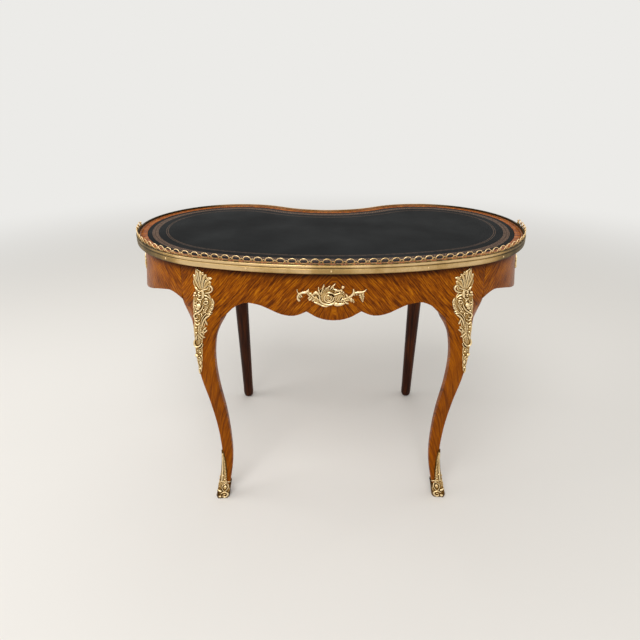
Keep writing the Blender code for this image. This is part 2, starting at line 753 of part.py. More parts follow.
def leg_ring(level):
    # Plan outline of the right front leg at a height, counter-clockwise from its inner front corner
    share = level / WOOD_TOP
    arris = leg_arris(level)
    width = KNEE_WIDTH * smooth(LEG_WIDTH_SHARES, share)
    square = [arris + Vector(((p - 1) * width, q * width)) for p, q in SQUARE_SHARES]
    to_front, to_side = front_apron_places()
    front = rim(to_front, wall_inset(to_front, level))
    side = rim(to_side, wall_inset(to_side, level))
    post = [front]
    for part, _ in SQUARE_SHARES[FRONT_CORNER_POINT + 1:ARRIS_POINTS[1]]:
        post.append(front.lerp(arris, part))
    for _, part in SQUARE_SHARES[ARRIS_POINTS[1]:SIDE_CORNER_POINT]:
        post.append(arris.lerp(side, part))
    post.append(side)
    back_count = len(SQUARE_SHARES) - len(post) - 1
    for index in range(back_count, -1, -1):
        place = to_front + (to_side - to_front) * index / back_count
        post.append(rim(place, WALL_INSET + POST_DEPTH))
    front_blend = smooth(FRONT_BLEND_SHARES, share)
    side_blend = smooth(SIDE_BLEND_SHARES, share)
    ring = []
    for i, (a, b) in enumerate(zip(square, post)):
        sideways = min(1.0, (len(post) - i) / (len(post) - SIDE_CORNER_POINT))
        if i <= ARRIS_POINTS[0]:
            sideways = 0.0
        ring.append(a.lerp(b, front_blend + (side_blend - front_blend) * sideways))
    return ring


def leg_levels(bottom, top):
    count = round((top - bottom) / LEG_STEP)
    return [bottom + (top - bottom) * index / count for index in range(count + 1)]


def raise_rings(plan_rings, levels):
    return [[(*point, level) for point in ring] for ring, level in zip(plan_rings, levels)]


def pair(name, rings, look):
    # The right-hand piece and its mirror image
    vertices, faces = skin(rings, split=True)
    right = make_object(f"{name}_right", vertices, faces, look)
    left = make_object(f"{name}_left", mirrored(vertices), faces, look)
    return right, left


def make_front_legs():
    levels = leg_levels(SABOT_SOLE + GAP, WOOD_TOP)
    pair("front_leg", raise_rings([leg_ring(level) for level in levels], levels), VENEER)


# Rear legs

POST_PART_SHARES = (0.25, 0.50, 0.75)
REAR_PROFILE_SHARES = ((0.000, 0.74), (0.012, 0.93), (0.035, 1.00), (0.060, 0.99), (0.10, 0.99), (0.30, 1.08),
                       (0.55, 1.20), (0.82, 1.32), (1.000, 1.36))


def make_rear_legs():
    post_bottom = TOP_UNDERSIDE - REAR_POST_HEIGHT
    leg_top = post_bottom - REAR_POST_TAPER
    start, end = REAR_POST_START, REAR_POST_END
    along = [start + (end - start) * part for part in (0, *POST_PART_SHARES, 1)]
    outer = [rim(place, WALL_INSET) for place in along]
    inner = [rim(place, WALL_INSET + REAR_POST_WIDTH) for place in reversed(along)]
    side_out = [rim(end, WALL_INSET + REAR_POST_WIDTH * part) for part in POST_PART_SHARES]
    side_back = [rim(start, WALL_INSET + REAR_POST_WIDTH * part) for part in reversed(POST_PART_SHARES)]
    post = outer + side_out + inner + side_back
    normal = rim_normal(REAR_LEG_PLACE)
    heading = atan2(normal.y, normal.x)
    centre = rim(REAR_LEG_PLACE, WALL_INSET + REAR_POST_WIDTH / 2)
    turn = 2 * pi / len(post)
    first_turn = heading - turn * (len(POST_PART_SHARES) + 1) / 2
    rings = []
    levels = []
    for share, size in REAR_PROFILE_SHARES:
        radius = REAR_FOOT_RADIUS * size
        middle = centre + normal * REAR_LEG_RAKE_LENGTH * (1 - share)
        rings.append([middle + radius * Vector((cos(first_turn + turn * i), sin(first_turn + turn * i)))
                      for i in range(len(post))])
        levels.append(leg_top * share)
    rings += [post, post]
    levels += [post_bottom, WOOD_TOP]
    pair("rear_leg", raise_rings(rings, levels), DARK_WOOD)


# Mounts that wrap the arris of a front leg

def grown(ring, amount):
    # A plan ring moved outwards all round
    count = len(ring)
    made = []
    for i, point in enumerate(ring):
        along = (ring[(i + 1) % count] - ring[i - 1]).normalized()
        made.append(point + amount * Vector((along.y, -along.x)))
    return made


def make_leg_forms():
    # The legs with the mounts' clearance round them, which hollow out the backs of the mounts
    levels = leg_levels(SABOT_SOLE + GAP, WOOD_TOP)
    rings = [grown(leg_ring(level), MOUNT_GAP) for level in levels]
    levels[0] = SABOT_SOLE
    vertices, faces = skin(raise_rings(rings, levels), split=True)
    return {"right": cutter("leg_form_right", vertices, faces),
            "left": cutter("leg_form_left", mirrored(vertices), faces)}


def along_line(line, distance):
    # Point and direction a distance along an open plan line
    for a, b in zip(line, line[1:]):
        length = (b - a).length
        if distance <= length or b is line[-1]:
            return a + (b - a) * (distance / length), (b - a) / length
        distance -= length


def wrap(level, front_width, side_width, bite, depth, steps):
    # Plan ring that lies over the leg on both sides of its arris and bites into it
    ring = leg_ring(level)
    arris = leg_arris(level)
    outwards = (arris - (ring[FRONT_CORNER_POINT] + ring[SIDE_CORNER_POINT]) / 2).normalized()
    to_front = [arris] + ring[ARRIS_POINTS[0] - 1::-1]
    to_side = [arris] + ring[ARRIS_POINTS[1] + 1:SIDE_CORNER_POINT + 1]
    inner = []
    outer = []
    for index in range(-steps, steps + 1):
        part = index / steps
        spot, normal = arris, outwards
        if index < 0:
            spot, run = along_line(to_front, front_width * -part)
            normal = Vector((-run.y, run.x))
        elif index > 0:
            spot, run = along_line(to_side, side_width * part)
            normal = Vector((run.y, -run.x))
        inner.append(spot - outwards * bite)
        outer.append(spot + normal * depth * (1 - MOUNT_FALL_SHARE * part * part))
    return inner + outer[::-1]


# Down the corner mount: share of the length, share of the width on the front face and on the side face
CORNER_MOUNT_SHARES = ((0.00, 0.22, 0.05), (0.04, 0.56, 0.12), (0.10, 0.90, 0.16), (0.17, 0.98, 0.16),
                       (0.23, 0.90, 0.14), (0.30, 1.14, 0.14), (0.38, 1.10, 0.14), (0.47, 0.82, 0.16),
                       (0.60, 0.56, 0.18), (0.72, 0.42, 0.18), (0.86, 0.26, 0.16), (1.00, 0.10, 0.08))
MOUNT_FALL_SHARE = 0.5
CORNER_MOUNT_STEPS = 3
SABOT_LEAF_STEPS = 2


def make_corner_mounts(forms):
    top = TOP_UNDERSIDE - CORNER_MOUNT_TOP_DEPTH
    rings = []
    levels = []
    for share, front, side in reversed(CORNER_MOUNT_SHARES):
        level = top - CORNER_MOUNT_LENGTH * share
        depth = MOUNT_THICKNESS + MOUNT_RELIEF * min(1.0, front)
        rings.append(wrap(level, CORNER_MOUNT_WIDTH * front, CORNER_MOUNT_WIDTH * side,
                          MOUNT_THICKNESS, depth, CORNER_MOUNT_STEPS))
        levels.append(level)
    for made in pair("corner_mount", raise_rings(rings, levels), GILT):
        cut(made, forms[made.name.rsplit("_", 1)[1]])


# Sabots: a cap round the foot with a leaf that climbs the arris

SABOT_TOE_SHARES = ((0.00, 0.45), (0.20, 1.00), (0.45, 0.80), (0.70, 0.25), (1.00, 0.10))
SABOT_LEAF_SHARES = ((0.00, 1.60), (0.25, 1.30), (0.50, 1.00), (0.75, 0.70), (1.00, 0.20))
SABOT_CAP_STEPS = 4


def make_sabots(forms):
    rings = []
    levels = []
    for index in range(SABOT_CAP_STEPS + 1):
        share = index / SABOT_CAP_STEPS
        level = SABOT_CAP_HEIGHT * share
        foot = leg_ring(level)
        centre = sum(foot, Vector((0, 0))) / len(foot)
        ring = grown(foot, MOUNT_GAP + SABOT_WALL)
        toe = SABOT_TOE_REACH * smooth(SABOT_TOE_SHARES, share)
        for i in ARRIS_POINTS:
            ring[i] += (foot[i] - centre).normalized() * toe
        rings.append(ring)
        levels.append(level)
    cap = skin(raise_rings(rings, levels), split=True)
    rings = []
    levels = []
    leaf_bottom = SABOT_CAP_HEIGHT / 2
    for share, width in SABOT_LEAF_SHARES:
        level = leaf_bottom + (SABOT_LEAF_TOP - leaf_bottom) * share
        rings.append(wrap(level, SABOT_LEAF_WIDTH * width, SABOT_LEAF_WIDTH * width,
                          SABOT_WALL, MOUNT_GAP + SABOT_WALL, SABOT_LEAF_STEPS))
        levels.append(level)
    leaf = skin(raise_rings(rings, levels), split=True)
    for side, turn in (("right", list), ("left", mirrored)):
        sabot = make_object(f"sabot_{side}", turn(cap[0]), cap[1], GILT)
        cut(sabot, cutter(f"sabot_leaf_{side}", turn(leaf[0]), leaf[1]), "UNION")
        cut(sabot, forms[side])


# Cartouche on the front apron and the same casting on each end

# Half outlines from the middle outwards: share of the half length, share of the half height
SHELL_SHARES = ((0.00, 1.00), (0.14, 0.90), (0.26, 0.62), (0.32, 0.20), (0.30, -0.30), (0.20, -0.72),
                (0.06, -0.95))
DOME_SHARE = 0.55
DOME_EDGE_SHARE = 0.98
SPRIG_SHARES = ((0.22, -0.85), (0.42, -0.80), (0.56, -0.42), (0.68, 0.02), (0.84, 0.18), (0.90, -0.30),
                (0.96, -0.62), (1.00, -0.10), (0.98, 0.34), (0.80, 0.44), (0.62, 0.36), (0.48, -0.06),
                (0.34, -0.36), (0.20, -0.40))


def make_cartouche(name, place):
    half_length = CARTOUCHE_LENGTH / 2
    half_height = CARTOUCHE_HEIGHT / 2
    middle = TOP_UNDERSIDE - CARTOUCHE_CENTRE_DEPTH

    def sized(shares, side):
        return [(side * x * half_length, y * half_height) for x, y in shares]

    shell = sized(SHELL_SHARES, 1) + sized(SHELL_SHARES[:0:-1], -1)
    dome = [(x * DOME_SHARE, y * DOME_SHARE) for x, y in shell]
    solids = [shell, dome, sized(SPRIG_SHARES, 1), sized(SPRIG_SHARES, -1)]
    flat, faces = cut_sheet(solids, [])

    def lay(lift, relief):
        def lay_point(point):
            spot_place = walk(place, point.x, WALL_INSET)
            height = MOUNT_THICKNESS
            if inside(point * DOME_EDGE_SHARE, dome):
                height += MOUNT_RELIEF
            level = middle + point.y
            spot = rim(spot_place, wall_inset(spot_place, level) - lift - relief * height)
            return Vector((*spot, level))
        return lay_point

    solid = thicken(flat, faces, lay(MOUNT_GAP, 1.0), lay(MOUNT_GAP, 0.0))
    make_object(name, *solid, GILT)


# Drawer

KNOB_SIDES = 16
# Knob from its seat outwards: share of the length, share of the radius
KNOB_SHARES = ((0.00, 0.75), (0.12, 0.68), (0.30, 0.42), (0.50, 0.62), (0.72, 1.00), (0.90, 0.80),
               (1.00, 0.35))


def frieze_back(x):
    # Depth of the front apron's inner face at x
    inset = WALL_INSET + APRON_THICKNESS
    return rim(front_place(x, inset), inset).y


def make_drawer():
    top = drawer_top_level()
    bottom = drawer_front_bottom()
    xs = even_xs(DRAWER_HALF_WIDTH, APRON_STEP)
    front_back = WALL_INSET + DRAWER_FRONT_THICKNESS
    outer = [Vector((x, rear_y(x, WALL_INSET))) for x in xs]
    inner = [Vector((x, rear_y(x, front_back))) for x in xs]
    front = plate("drawer_front", outer, inner, [bottom] * len(xs), top)
    side_bottom = bottom
    side_top = side_bottom + DRAWER_SIDE_HEIGHT
    tail = frieze_back(BOX_HALF_WIDTH) + DRAWER_TAIL_ROOM
    inside_half = BOX_HALF_WIDTH - DRAWER_SIDE_THICKNESS
    for side, sign in (("left", -1), ("right", 1)):
        a = sign * inside_half
        b = sign * BOX_HALF_WIDTH
        reach = min(rear_y(a, front_back), rear_y(b, front_back)) - GAP
        outline = [(a, tail), (b, tail), (b, reach), (a, reach)]
        prism(f"drawer_side_{side}", outline, side_bottom, side_top, CARCASS_WOOD)
    fit = inside_half - GAP
    box("drawer_back", (-fit, tail, side_bottom + DRAWER_BOTTOM_LIFT + DRAWER_BOTTOM_THICKNESS + GAP),
        (fit, tail + DRAWER_SIDE_THICKNESS, side_top), CARCASS_WOOD)
    floor_xs = even_xs(fit, APRON_STEP)
    outline = [(-fit, tail), (fit, tail)]
    outline += [(x, rear_y(x, front_back) - GAP) for x in reversed(floor_xs)]
    prism("drawer_bottom", outline, side_bottom + DRAWER_BOTTOM_LIFT,
          side_bottom + DRAWER_BOTTOM_LIFT + DRAWER_BOTTOM_THICKNESS, CARCASS_WOOD)
    level = (top + bottom) / 2
    seat = Vector((0.0, rear_y(KNOB_RADIUS * KNOB_SHARES[0][1], WALL_INSET) + GAP, level))
    shank = DRAWER_FRONT_THICKNESS - OVERRUN
    profile = [(-shank, KNOB_SHANK_RADIUS), (0.0, KNOB_SHANK_RADIUS)]
    profile += [(KNOB_LENGTH * up, KNOB_RADIUS * out) for up, out in KNOB_SHARES]
    make_object("drawer_knob", *skin(turned(profile, seat, (0, 1, 0), KNOB_SIDES)), BRASS)
    hole = KNOB_SHANK_RADIUS + GAP
    drill = skin(turned([(-shank - GAP, hole), (OVERRUN, hole)], seat, (0, 1, 0), KNOB_SIDES))
    cut(front, cutter("knob_drill", *drill))
    return tail, side_top


def make_drawer_ways(tail, side_top):
    side_bottom = drawer_front_bottom()
    for side, sign in (("left", -1), ("right", 1)):
        lip_in = BOX_HALF_WIDTH + DRAWER_CLEARANCE
        lip_out = lip_in + RUNNER_LIP
        near = BOX_HALF_WIDTH - DRAWER_SIDE_THICKNESS
        xs = (near, lip_out)
        front_y = max(frieze_back(x) for x in xs) + GAP
        back_y = min(rear_y(x, WALL_INSET + LOWER_RAIL_THICKNESS) for x in xs) - GAP
        top = side_bottom - GAP
        section = [(near, top - RUNNER_THICKNESS), (lip_out, top - RUNNER_THICKNESS),
                   (lip_out, top + RUNNER_LIP_HEIGHT), (lip_in, top + RUNNER_LIP_HEIGHT),
                   (lip_in, top), (near, top)]
        rings = [[(sign * x, y, z) for x, z in section] for y in (front_y, back_y)]
        make_object(f"drawer_runner_{side}", *skin(rings), CARCASS_WOOD)
        kick_low = side_top + DRAWER_CLEARANCE
        kick = sorted((sign * near, sign * (near + KICKER_WIDTH)))
        box(f"drawer_kicker_{side}", (kick[0], front_y, kick_low), (kick[1], back_y, WOOD_TOP), CARCASS_WOOD)
        stop = sorted((sign * near, sign * BOX_HALF_WIDTH))
        stop_end = tail - GAP
        box(f"drawer_stop_{side}", (stop[0], stop_end - STOP_SIZE, top + GAP),
            (stop[1], stop_end, top + GAP + STOP_SIZE), CARCASS_WOOD)


# Glue blocks in the angle between the aprons and the top

END_BLOCK_SHARE = 1.550


def make_blocks():
    back = WALL_INSET + APRON_THICKNESS
    kicker_side = BOX_HALF_WIDTH - DRAWER_SIDE_THICKNESS
    front = front_place(kicker_side - BLOCK_TO_KICKER - BLOCK_LENGTH / 2, back)
    for number, place in enumerate((-END_BLOCK_SHARE, -front, front, END_BLOCK_SHARE), 1):
        half = BLOCK_LENGTH / 2
        ends = [walk(place, -half, back), walk(place, half, back)]
        stops = [ends[0], place, ends[1]]
        outer = [rim(stop, back + GAP) for stop in stops]
        inner = [rim(stop, back + GAP + BLOCK_WIDTH) for stop in stops]
        lows = [WOOD_TOP - BLOCK_WIDTH] * len(stops)
        plate(f"glue_block_{number}", outer, inner, lows, WOOD_TOP, CARCASS_WOOD)


top_board, top_lipping = make_top()
edge_moulding = make_edge()
make_pins((top_board, top_lipping, edge_moulding))
make_gallery()
make_aprons()
make_rear_aprons()
make_lower_rail()
make_front_legs()
make_rear_legs()
leg_forms = make_leg_forms()
make_corner_mounts(leg_forms)
make_sabots(leg_forms)
make_cartouche("front_cartouche", front_place(CARTOUCHE_SHIFT, WALL_INSET))
make_cartouche("end_cartouche_right", END_MOUNT_SHARE)
make_cartouche("end_cartouche_left", -END_MOUNT_SHARE)
drawer_tail, drawer_side_top = make_drawer()
make_drawer_ways(drawer_tail, drawer_side_top)
make_blocks()
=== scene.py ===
from math import atan2, cos, pi, radians, sin

import bpy
import numpy as np
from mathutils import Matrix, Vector
from mathutils.bvhtree import BVHTree


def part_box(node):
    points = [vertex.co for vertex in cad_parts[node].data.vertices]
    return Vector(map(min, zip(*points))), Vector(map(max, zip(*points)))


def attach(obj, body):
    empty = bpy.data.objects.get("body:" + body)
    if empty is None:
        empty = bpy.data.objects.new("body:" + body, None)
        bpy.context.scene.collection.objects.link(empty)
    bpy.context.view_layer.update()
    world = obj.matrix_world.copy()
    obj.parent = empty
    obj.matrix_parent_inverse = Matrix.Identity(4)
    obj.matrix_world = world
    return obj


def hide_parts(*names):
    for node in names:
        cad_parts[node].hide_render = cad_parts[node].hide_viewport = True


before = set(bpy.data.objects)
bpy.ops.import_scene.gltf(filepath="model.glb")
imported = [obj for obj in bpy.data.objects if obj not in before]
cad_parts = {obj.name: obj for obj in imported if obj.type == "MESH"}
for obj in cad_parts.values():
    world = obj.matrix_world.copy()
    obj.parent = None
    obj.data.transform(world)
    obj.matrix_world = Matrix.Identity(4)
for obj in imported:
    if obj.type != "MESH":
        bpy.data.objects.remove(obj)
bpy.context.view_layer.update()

mm = 0.001
print("frame loaded")


# Camera at the photograph's viewing angle, fitted to the top's outline and the feet

camera = dict(place=(-0.04003, -1.31307, 1.11208), turn=(63.8147, 0.0, -0.3946), lens=26.9045, sensor=36.0)

bpy.ops.object.select_all(action="DESELECT")
bpy.ops.object.camera_add(location=camera["place"], rotation=[radians(a) for a in camera["turn"]])
view = bpy.context.object
view.name = "camera"
view.data.lens = camera["lens"]
view.data.sensor_width = camera["sensor"]
view.data.clip_end = 50
bpy.context.scene.camera = view
bpy.context.scene.view_settings.view_transform = "Standard"


# Small helpers for materials

def hexColour(code):
    # An sRGB hex value as the linear colour that a shader takes
    parts = [int(code[i:i + 2], 16) / 255 for i in (1, 3, 5)]
    return [*(c / 12.92 if c <= 0.04045 else ((c + 0.055) / 1.055) ** 2.4 for c in parts), 1.0]


def perMm(size):
    # Texture scale, in features a metre, for a feature of this many millimetres
    return 1000 / size


def outputOf(source):
    # A node stands for the first of its outputs that is in use
    if isinstance(source, bpy.types.NodeSocket):
        return source
    return next(socket for socket in source.outputs if socket.enabled)


def addNode(material, kind, settings=None, inputs=None, stops=None):
    # Adds a node; an input's value is a number, a colour, or the socket or node that it is linked to
    tree = material.node_tree
    node = tree.nodes.new("ShaderNode" + kind)
    for name, value in (settings or {}).items():
        setattr(node, name, value)
    for name, value in (inputs or {}).items():
        if isinstance(value, (bpy.types.NodeSocket, bpy.types.Node)):
            tree.links.new(outputOf(value), node.inputs[name])
        else:
            node.inputs[name].default_value = value
    if stops:
        ramp = node.color_ramp
        while len(ramp.elements) < len(stops):
            ramp.elements.new(0.5)
        for element, (position, code) in zip(ramp.elements, stops):
            element.position = position
            element.color = hexColour(code)
    return node


def startMaterial(name, **values):
    # A Principled material whose uniform values sit on the shader's own sockets
    made = bpy.data.materials.new(name)
    made.use_nodes = True
    shader = made.node_tree.nodes["Principled BSDF"]
    for key, value in values.items():
        shader.inputs[key.replace("_", " ")].default_value = value
    return made, shader


def wire(material, shader, **sources):
    for key, source in sources.items():
        material.node_tree.links.new(outputOf(source), shader.inputs[key.replace("_", " ")])


# Kingwood veneer, French polished: orange-brown stripes and short dark pores under a thin glossy film.
# The real stripes are about a millimetre apart, and are drawn a little coarser so that they show.
# Lengths are in millimetres; calmFrom and calmTo are levels in metres, between which the shins grow calmer.

# The last three values give the painted shade under the brass edge: where it starts and where it is full, in
# millimetres below the corner, and how dark it gets.
veneerLook = dict(stripe=1.6, stripeLength=20, stripeWeight=1.38, figure=24, figureStretch=0.35, figureWeight=0.42,
                  darker=0.40, pore=1.1, poreLength=8, poreShade=0.4, wander=60, sway=9,
                  calmFrom=0.62, calmTo=0.48, calm=0.45, calmTone=0.48, darkeningFrom=26, darkeningTo=3, darkening=0.95)


def veneerMaterial(name, turn, stops, lobe=None, gloss=0.28, shadeFrom=None, film=0.06):
    # turn is the grain's slope on the piece's own grain map, in degrees
    look = veneerLook
    made, shader = startMaterial(name, Coat_Weight=film * 0.35, Coat_Roughness=0.12, Coat_IOR=1.5, IOR=1.5,
                                 Specular_IOR_Level=film)
    grainMap = addNode(made, "UVMap", dict(uv_map="grain"))
    grain = addNode(made, "Mapping", inputs=dict(Vector=grainMap, Rotation=(0, 0, radians(turn))))
    if lobe:
        # The lobe under the cartouche: rays of veneer that fan out from the mount
        shifted = addNode(made, "Mapping", inputs=dict(Vector=grainMap, Location=(0, -lobe["level"], 0)))
        parts = addNode(made, "SeparateXYZ", inputs=dict(Vector=shifted))
        ray = addNode(made, "Math", dict(operation="ARCTAN2"), {0: parts.outputs["X"], 1: parts.outputs["Y"]})
        spread = addNode(made, "Math", dict(operation="MULTIPLY"), {0: ray, 1: lobe["reach"]})
        distance = addNode(made, "VectorMath", dict(operation="LENGTH"), {0: shifted})
        fan = addNode(made, "CombineXYZ", inputs=dict(X=distance, Y=spread, Z=lobe["slice"]))
        away = addNode(made, "Math", dict(operation="ABSOLUTE"), {0: parts.outputs["X"]})
        beside = addNode(made, "MapRange", inputs={
            "Value": away, "From Min": lobe["halfWidth"], "From Max": lobe["halfWidth"] - mm})
        under = addNode(made, "MapRange", inputs={"Value": parts.outputs["Y"], "From Min": 0.0, "From Max": -mm})
        inLobe = addNode(made, "Math", dict(operation="MULTIPLY"), {0: beside, 1: under})
        grain = addNode(made, "Mix", dict(data_type="VECTOR"), {0: inLobe, 4: grain, 5: fan})
    wander = addNode(made, "TexNoise", inputs=dict(Vector=grain, Scale=perMm(look["wander"]), Detail=1.0))
    waver = addNode(made, "VectorMath", dict(operation="MULTIPLY_ADD"),
                    {0: wander.outputs["Color"], 1: (0.0, look["sway"] * mm, 0.0), 2: grain})
    stripeLine = addNode(made, "Mapping",
                         inputs=dict(Vector=waver, Scale=(look["stripe"] / look["stripeLength"], 1, 1)))
    stripe = addNode(made, "TexNoise", inputs=dict(
        Vector=stripeLine, Scale=perMm(look["stripe"] * 2), Detail=4.0, Roughness=0.62))
    figureLine = addNode(made, "Mapping", inputs=dict(Vector=waver, Scale=(look["figureStretch"], 1, 1)))
    figure = addNode(made, "TexNoise", inputs=dict(
        Vector=figureLine, Scale=perMm(look["figure"]), Detail=2.0, Distortion=0.6))
    poreLine = addNode(made, "Mapping", inputs=dict(Vector=waver, Scale=(look["pore"] / look["poreLength"], 1, 1)))
    pore = addNode(made, "TexNoise", inputs=dict(Vector=poreLine, Scale=perMm(look["pore"]), Detail=1.0))
    mixed = addNode(made, "Math", dict(operation="MULTIPLY_ADD"),
                    {0: figure, 1: look["figureWeight"], 2: -look["darker"]})
    lively = addNode(made, "Math", dict(operation="MULTIPLY_ADD"), {0: stripe, 1: look["stripeWeight"], 2: mixed})
    height = addNode(made, "SeparateXYZ", inputs=dict(Vector=addNode(made, "TexCoord").outputs["Object"]))
    calm = addNode(made, "MapRange", dict(interpolation_type="SMOOTHSTEP"), {
        "Value": height.outputs["Z"], "From Min": look["calmFrom"], "From Max": look["calmTo"],
        "To Max": look["calm"]})
    level = addNode(made, "Mix", inputs={0: calm, 2: lively, 3: look["calmTone"]})
    colour = addNode(made, "ValToRGB", inputs=dict(Fac=level), stops=stops)
    dashes = addNode(made, "MapRange", inputs={
        "Value": pore, "From Min": 0.54, "From Max": 0.68, "To Min": 0.0, "To Max": look["poreShade"]})
    shaded = addNode(made, "Mix", dict(data_type="RGBA", blend_type="MULTIPLY"), {
        0: dashes, 6: colour, 7: hexColour("#8a5a34")})
    if shadeFrom:
        # Painted shade: the veneer is drawn darker in the corner under the brass edge, where the edge's shadow falls
        corner = addNode(made, "MapRange", dict(interpolation_type="SMOOTHSTEP"), {
            "Value": height.outputs["Z"], "From Min": shadeFrom - look["darkeningFrom"] * mm,
            "From Max": shadeFrom - look["darkeningTo"] * mm, "To Max": look["darkening"]})
        shaded = addNode(made, "Mix", dict(data_type="RGBA", blend_type="MULTIPLY"), {
            0: corner, 6: shaded, 7: hexColour("#4e2c14")})
    sheen = addNode(made, "MapRange", inputs={
        "Value": stripe, "From Min": 0.3, "From Max": 0.7, "To Min": gloss + 0.08, "To Max": gloss - 0.03})
    relief = addNode(made, "Bump", inputs=dict(Strength=0.05, Distance=0.3 * mm, Height=pore))
    wire(made, shader, Base_Color=shaded, Roughness=sheen, Normal=relief)
    return made


orangeStops = ((0.30, "#5c2a02"), (0.41, "#793b01"), (0.51, "#904a01"), (0.62, "#a65b03"), (0.74, "#c2760d"))
bandStops = ((0.30, "#602a04"), (0.44, "#843f03"), (0.56, "#9d5307"), (0.70, "#b66712"))
# In metres: where the lobe's rays start, how far apart they spread, how far out they run, and the noise's slice
lobe = dict(level=0.690, reach=0.085, halfWidth=0.056, slice=0.7)
# Level of the corner under the brass edge, below which the veneer gets its painted shade
underBrass = 0.7315
kingwoodFrieze = veneerMaterial("kingwoodFrieze", 48, orangeStops, lobe=lobe, shadeFrom=underBrass)
kingwoodBand = veneerMaterial("kingwoodBand", 90, bandStops, gloss=0.30, film=0.04)
kingwoodRear = veneerMaterial("kingwoodRear", 90, orangeStops, shadeFrom=underBrass)


# Rosewood lipping and the stained beech of the rear legs, waxed: dark, with long streaks and a satin shine

darkWoodLook = dict(streak=9, stretch=0.06)


def darkWoodMaterial(name, stops, gloss):
    look = darkWoodLook
    made, shader = startMaterial(name, Coat_Weight=0.03, Coat_Roughness=0.2, IOR=1.5, Specular_IOR_Level=0.10)
    spot = addNode(made, "TexCoord").outputs["Object"]
    line = addNode(made, "Mapping", inputs=dict(Vector=spot, Scale=(1, 1, look["stretch"])))
    streak = addNode(made, "TexNoise", inputs=dict(
        Vector=line, Scale=perMm(look["streak"]), Detail=4.0, Roughness=0.6))
    colour = addNode(made, "ValToRGB", inputs=dict(Fac=streak), stops=stops)
    sheen = addNode(made, "MapRange", inputs={"Value": streak, "To Min": gloss + 0.1, "To Max": gloss})
    relief = addNode(made, "Bump", inputs=dict(Strength=0.15, Distance=0.3 * mm, Height=streak))
    wire(made, shader, Base_Color=colour, Roughness=sheen, Normal=relief)
    return made


rosewoodLipping = darkWoodMaterial("rosewoodLipping", ((0.35, "#5a2a0a"), (0.55, "#7c4414"), (0.7, "#965a22")), 0.25)
stainedBeech = darkWoodMaterial("stainedBeech", ((0.35, "#240e04"), (0.5, "#3a1806"), (0.68, "#542809")), 0.30)


# Oak carcass, planed and left bare: dull, brown with age, with an open grain

oakLook = dict(grain=5, stretch=0.05, stain=120, stainWeight=0.4)


def oakMaterial():
    look = oakLook
    made, shader = startMaterial("bareOak", IOR=1.5)
    spot = addNode(made, "TexCoord").outputs["Object"]
    line = addNode(made, "Mapping", inputs=dict(Vector=spot, Scale=(1, look["stretch"], 1)))
    grain = addNode(made, "TexNoise", inputs=dict(
        Vector=line, Scale=perMm(look["grain"]), Detail=5.0, Roughness=0.6))
    stain = addNode(made, "TexNoise", inputs=dict(Vector=spot, Scale=perMm(look["stain"]), Detail=2.0))
    blend = addNode(made, "Math", dict(operation="MULTIPLY_ADD"), {0: stain, 1: look["stainWeight"], 2: grain})
    colour = addNode(made, "ValToRGB", inputs=dict(Fac=blend), stops=(
        (0.45, "#6b4a2a"), (0.65, "#94703f"), (0.85, "#b18c58")))
    relief = addNode(made, "Bump", inputs=dict(Strength=0.3, Distance=0.3 * mm, Height=grain))
    sheen = addNode(made, "MapRange", inputs={"Value": grain, "To Min": 0.7, "To Max": 0.52})
    wire(made, shader, Base_Color=colour, Roughness=sheen, Normal=relief)
    return made


bareOak = oakMaterial()


# Brass, rolled and polished, turning brown where it has dulled or is drawn in painted shade, and cast bronze with a
# soft yellow mercury gilding.
# The piece's own attribute says how dark a spot is drawn: old polish and dirt in hollows, and on some pieces painted
# shade, a painted reflection and a painted highlight.

metalLook = dict(speck=3.5, speckWeight=0.5)


def castMetalMaterial(name, stops, gloss, patina, cloudSize):
    look = metalLook
    made, shader = startMaterial(name, Metallic=1.0)
    spot = addNode(made, "TexCoord").outputs["Object"]
    depth = addNode(made, "Attribute", dict(attribute_name="darkness")).outputs["Fac"]
    cloud = addNode(made, "TexNoise", inputs=dict(Vector=spot, Scale=perMm(cloudSize), Detail=3.0))
    speck = addNode(made, "TexNoise", inputs=dict(Vector=spot, Scale=perMm(look["speck"]), Detail=2.0))
    blotch = addNode(made, "MapRange", inputs={"Value": cloud, "From Min": 0.34, "From Max": 0.66})
    # Both noises are taken off again at their middle, so that patina only varies the depth
    tarnish = addNode(made, "Math", dict(operation="MULTIPLY_ADD"), {0: blotch, 1: patina, 2: depth})
    worn = addNode(made, "Math", dict(operation="MULTIPLY_ADD"),
                   {0: speck, 1: patina * look["speckWeight"], 2: tarnish})
    level = addNode(made, "Math", dict(operation="SUBTRACT"), {0: worn, 1: patina * (1 + look["speckWeight"]) / 2})
    colour = addNode(made, "ValToRGB", inputs=dict(Fac=level), stops=stops)
    sheen = addNode(made, "MapRange", inputs={"Value": worn, "To Min": gloss, "To Max": gloss + 0.3})
    relief = addNode(made, "Bump", inputs=dict(Strength=0.12, Distance=0.4 * mm, Height=speck))
    wire(made, shader, Base_Color=colour, Roughness=sheen, Normal=relief)
    return made


polishedBrass = castMetalMaterial("polishedBrass", (
    (0.0, "#dfc08e"), (0.26, "#b9965e"), (0.62, "#7a6642"), (1.0, "#40341f")),
    gloss=0.24, patina=0.40, cloudSize=85)
mercuryGilt = castMetalMaterial("mercuryGilt", (
    (0.0, "#f8e0b0"), (0.24, "#dfbe84"), (0.50, "#9c7438"), (0.78, "#523611"), (1.0, "#201305")),
    gloss=0.30, patina=0.12, cloudSize=40)


# Hide dyed black and rubbed nearly matt, with bands tooled in gold leaf that has dulled.
# Its grain is finer than a millimetre, and is drawn coarser so that it shows. All in millimetres but the shares.

leatherLook = dict(margin=29.2, laceFrom=12.5, laceTo=28.5, sideLine=1.2, lineOne=49.0, lineTwo=53.5, lineWidth=1.1,
                   motif=15.0, swing=0.62, braidFull=0.16, braidFade=0.30, wear=7, cloud=150, grain=1.6)


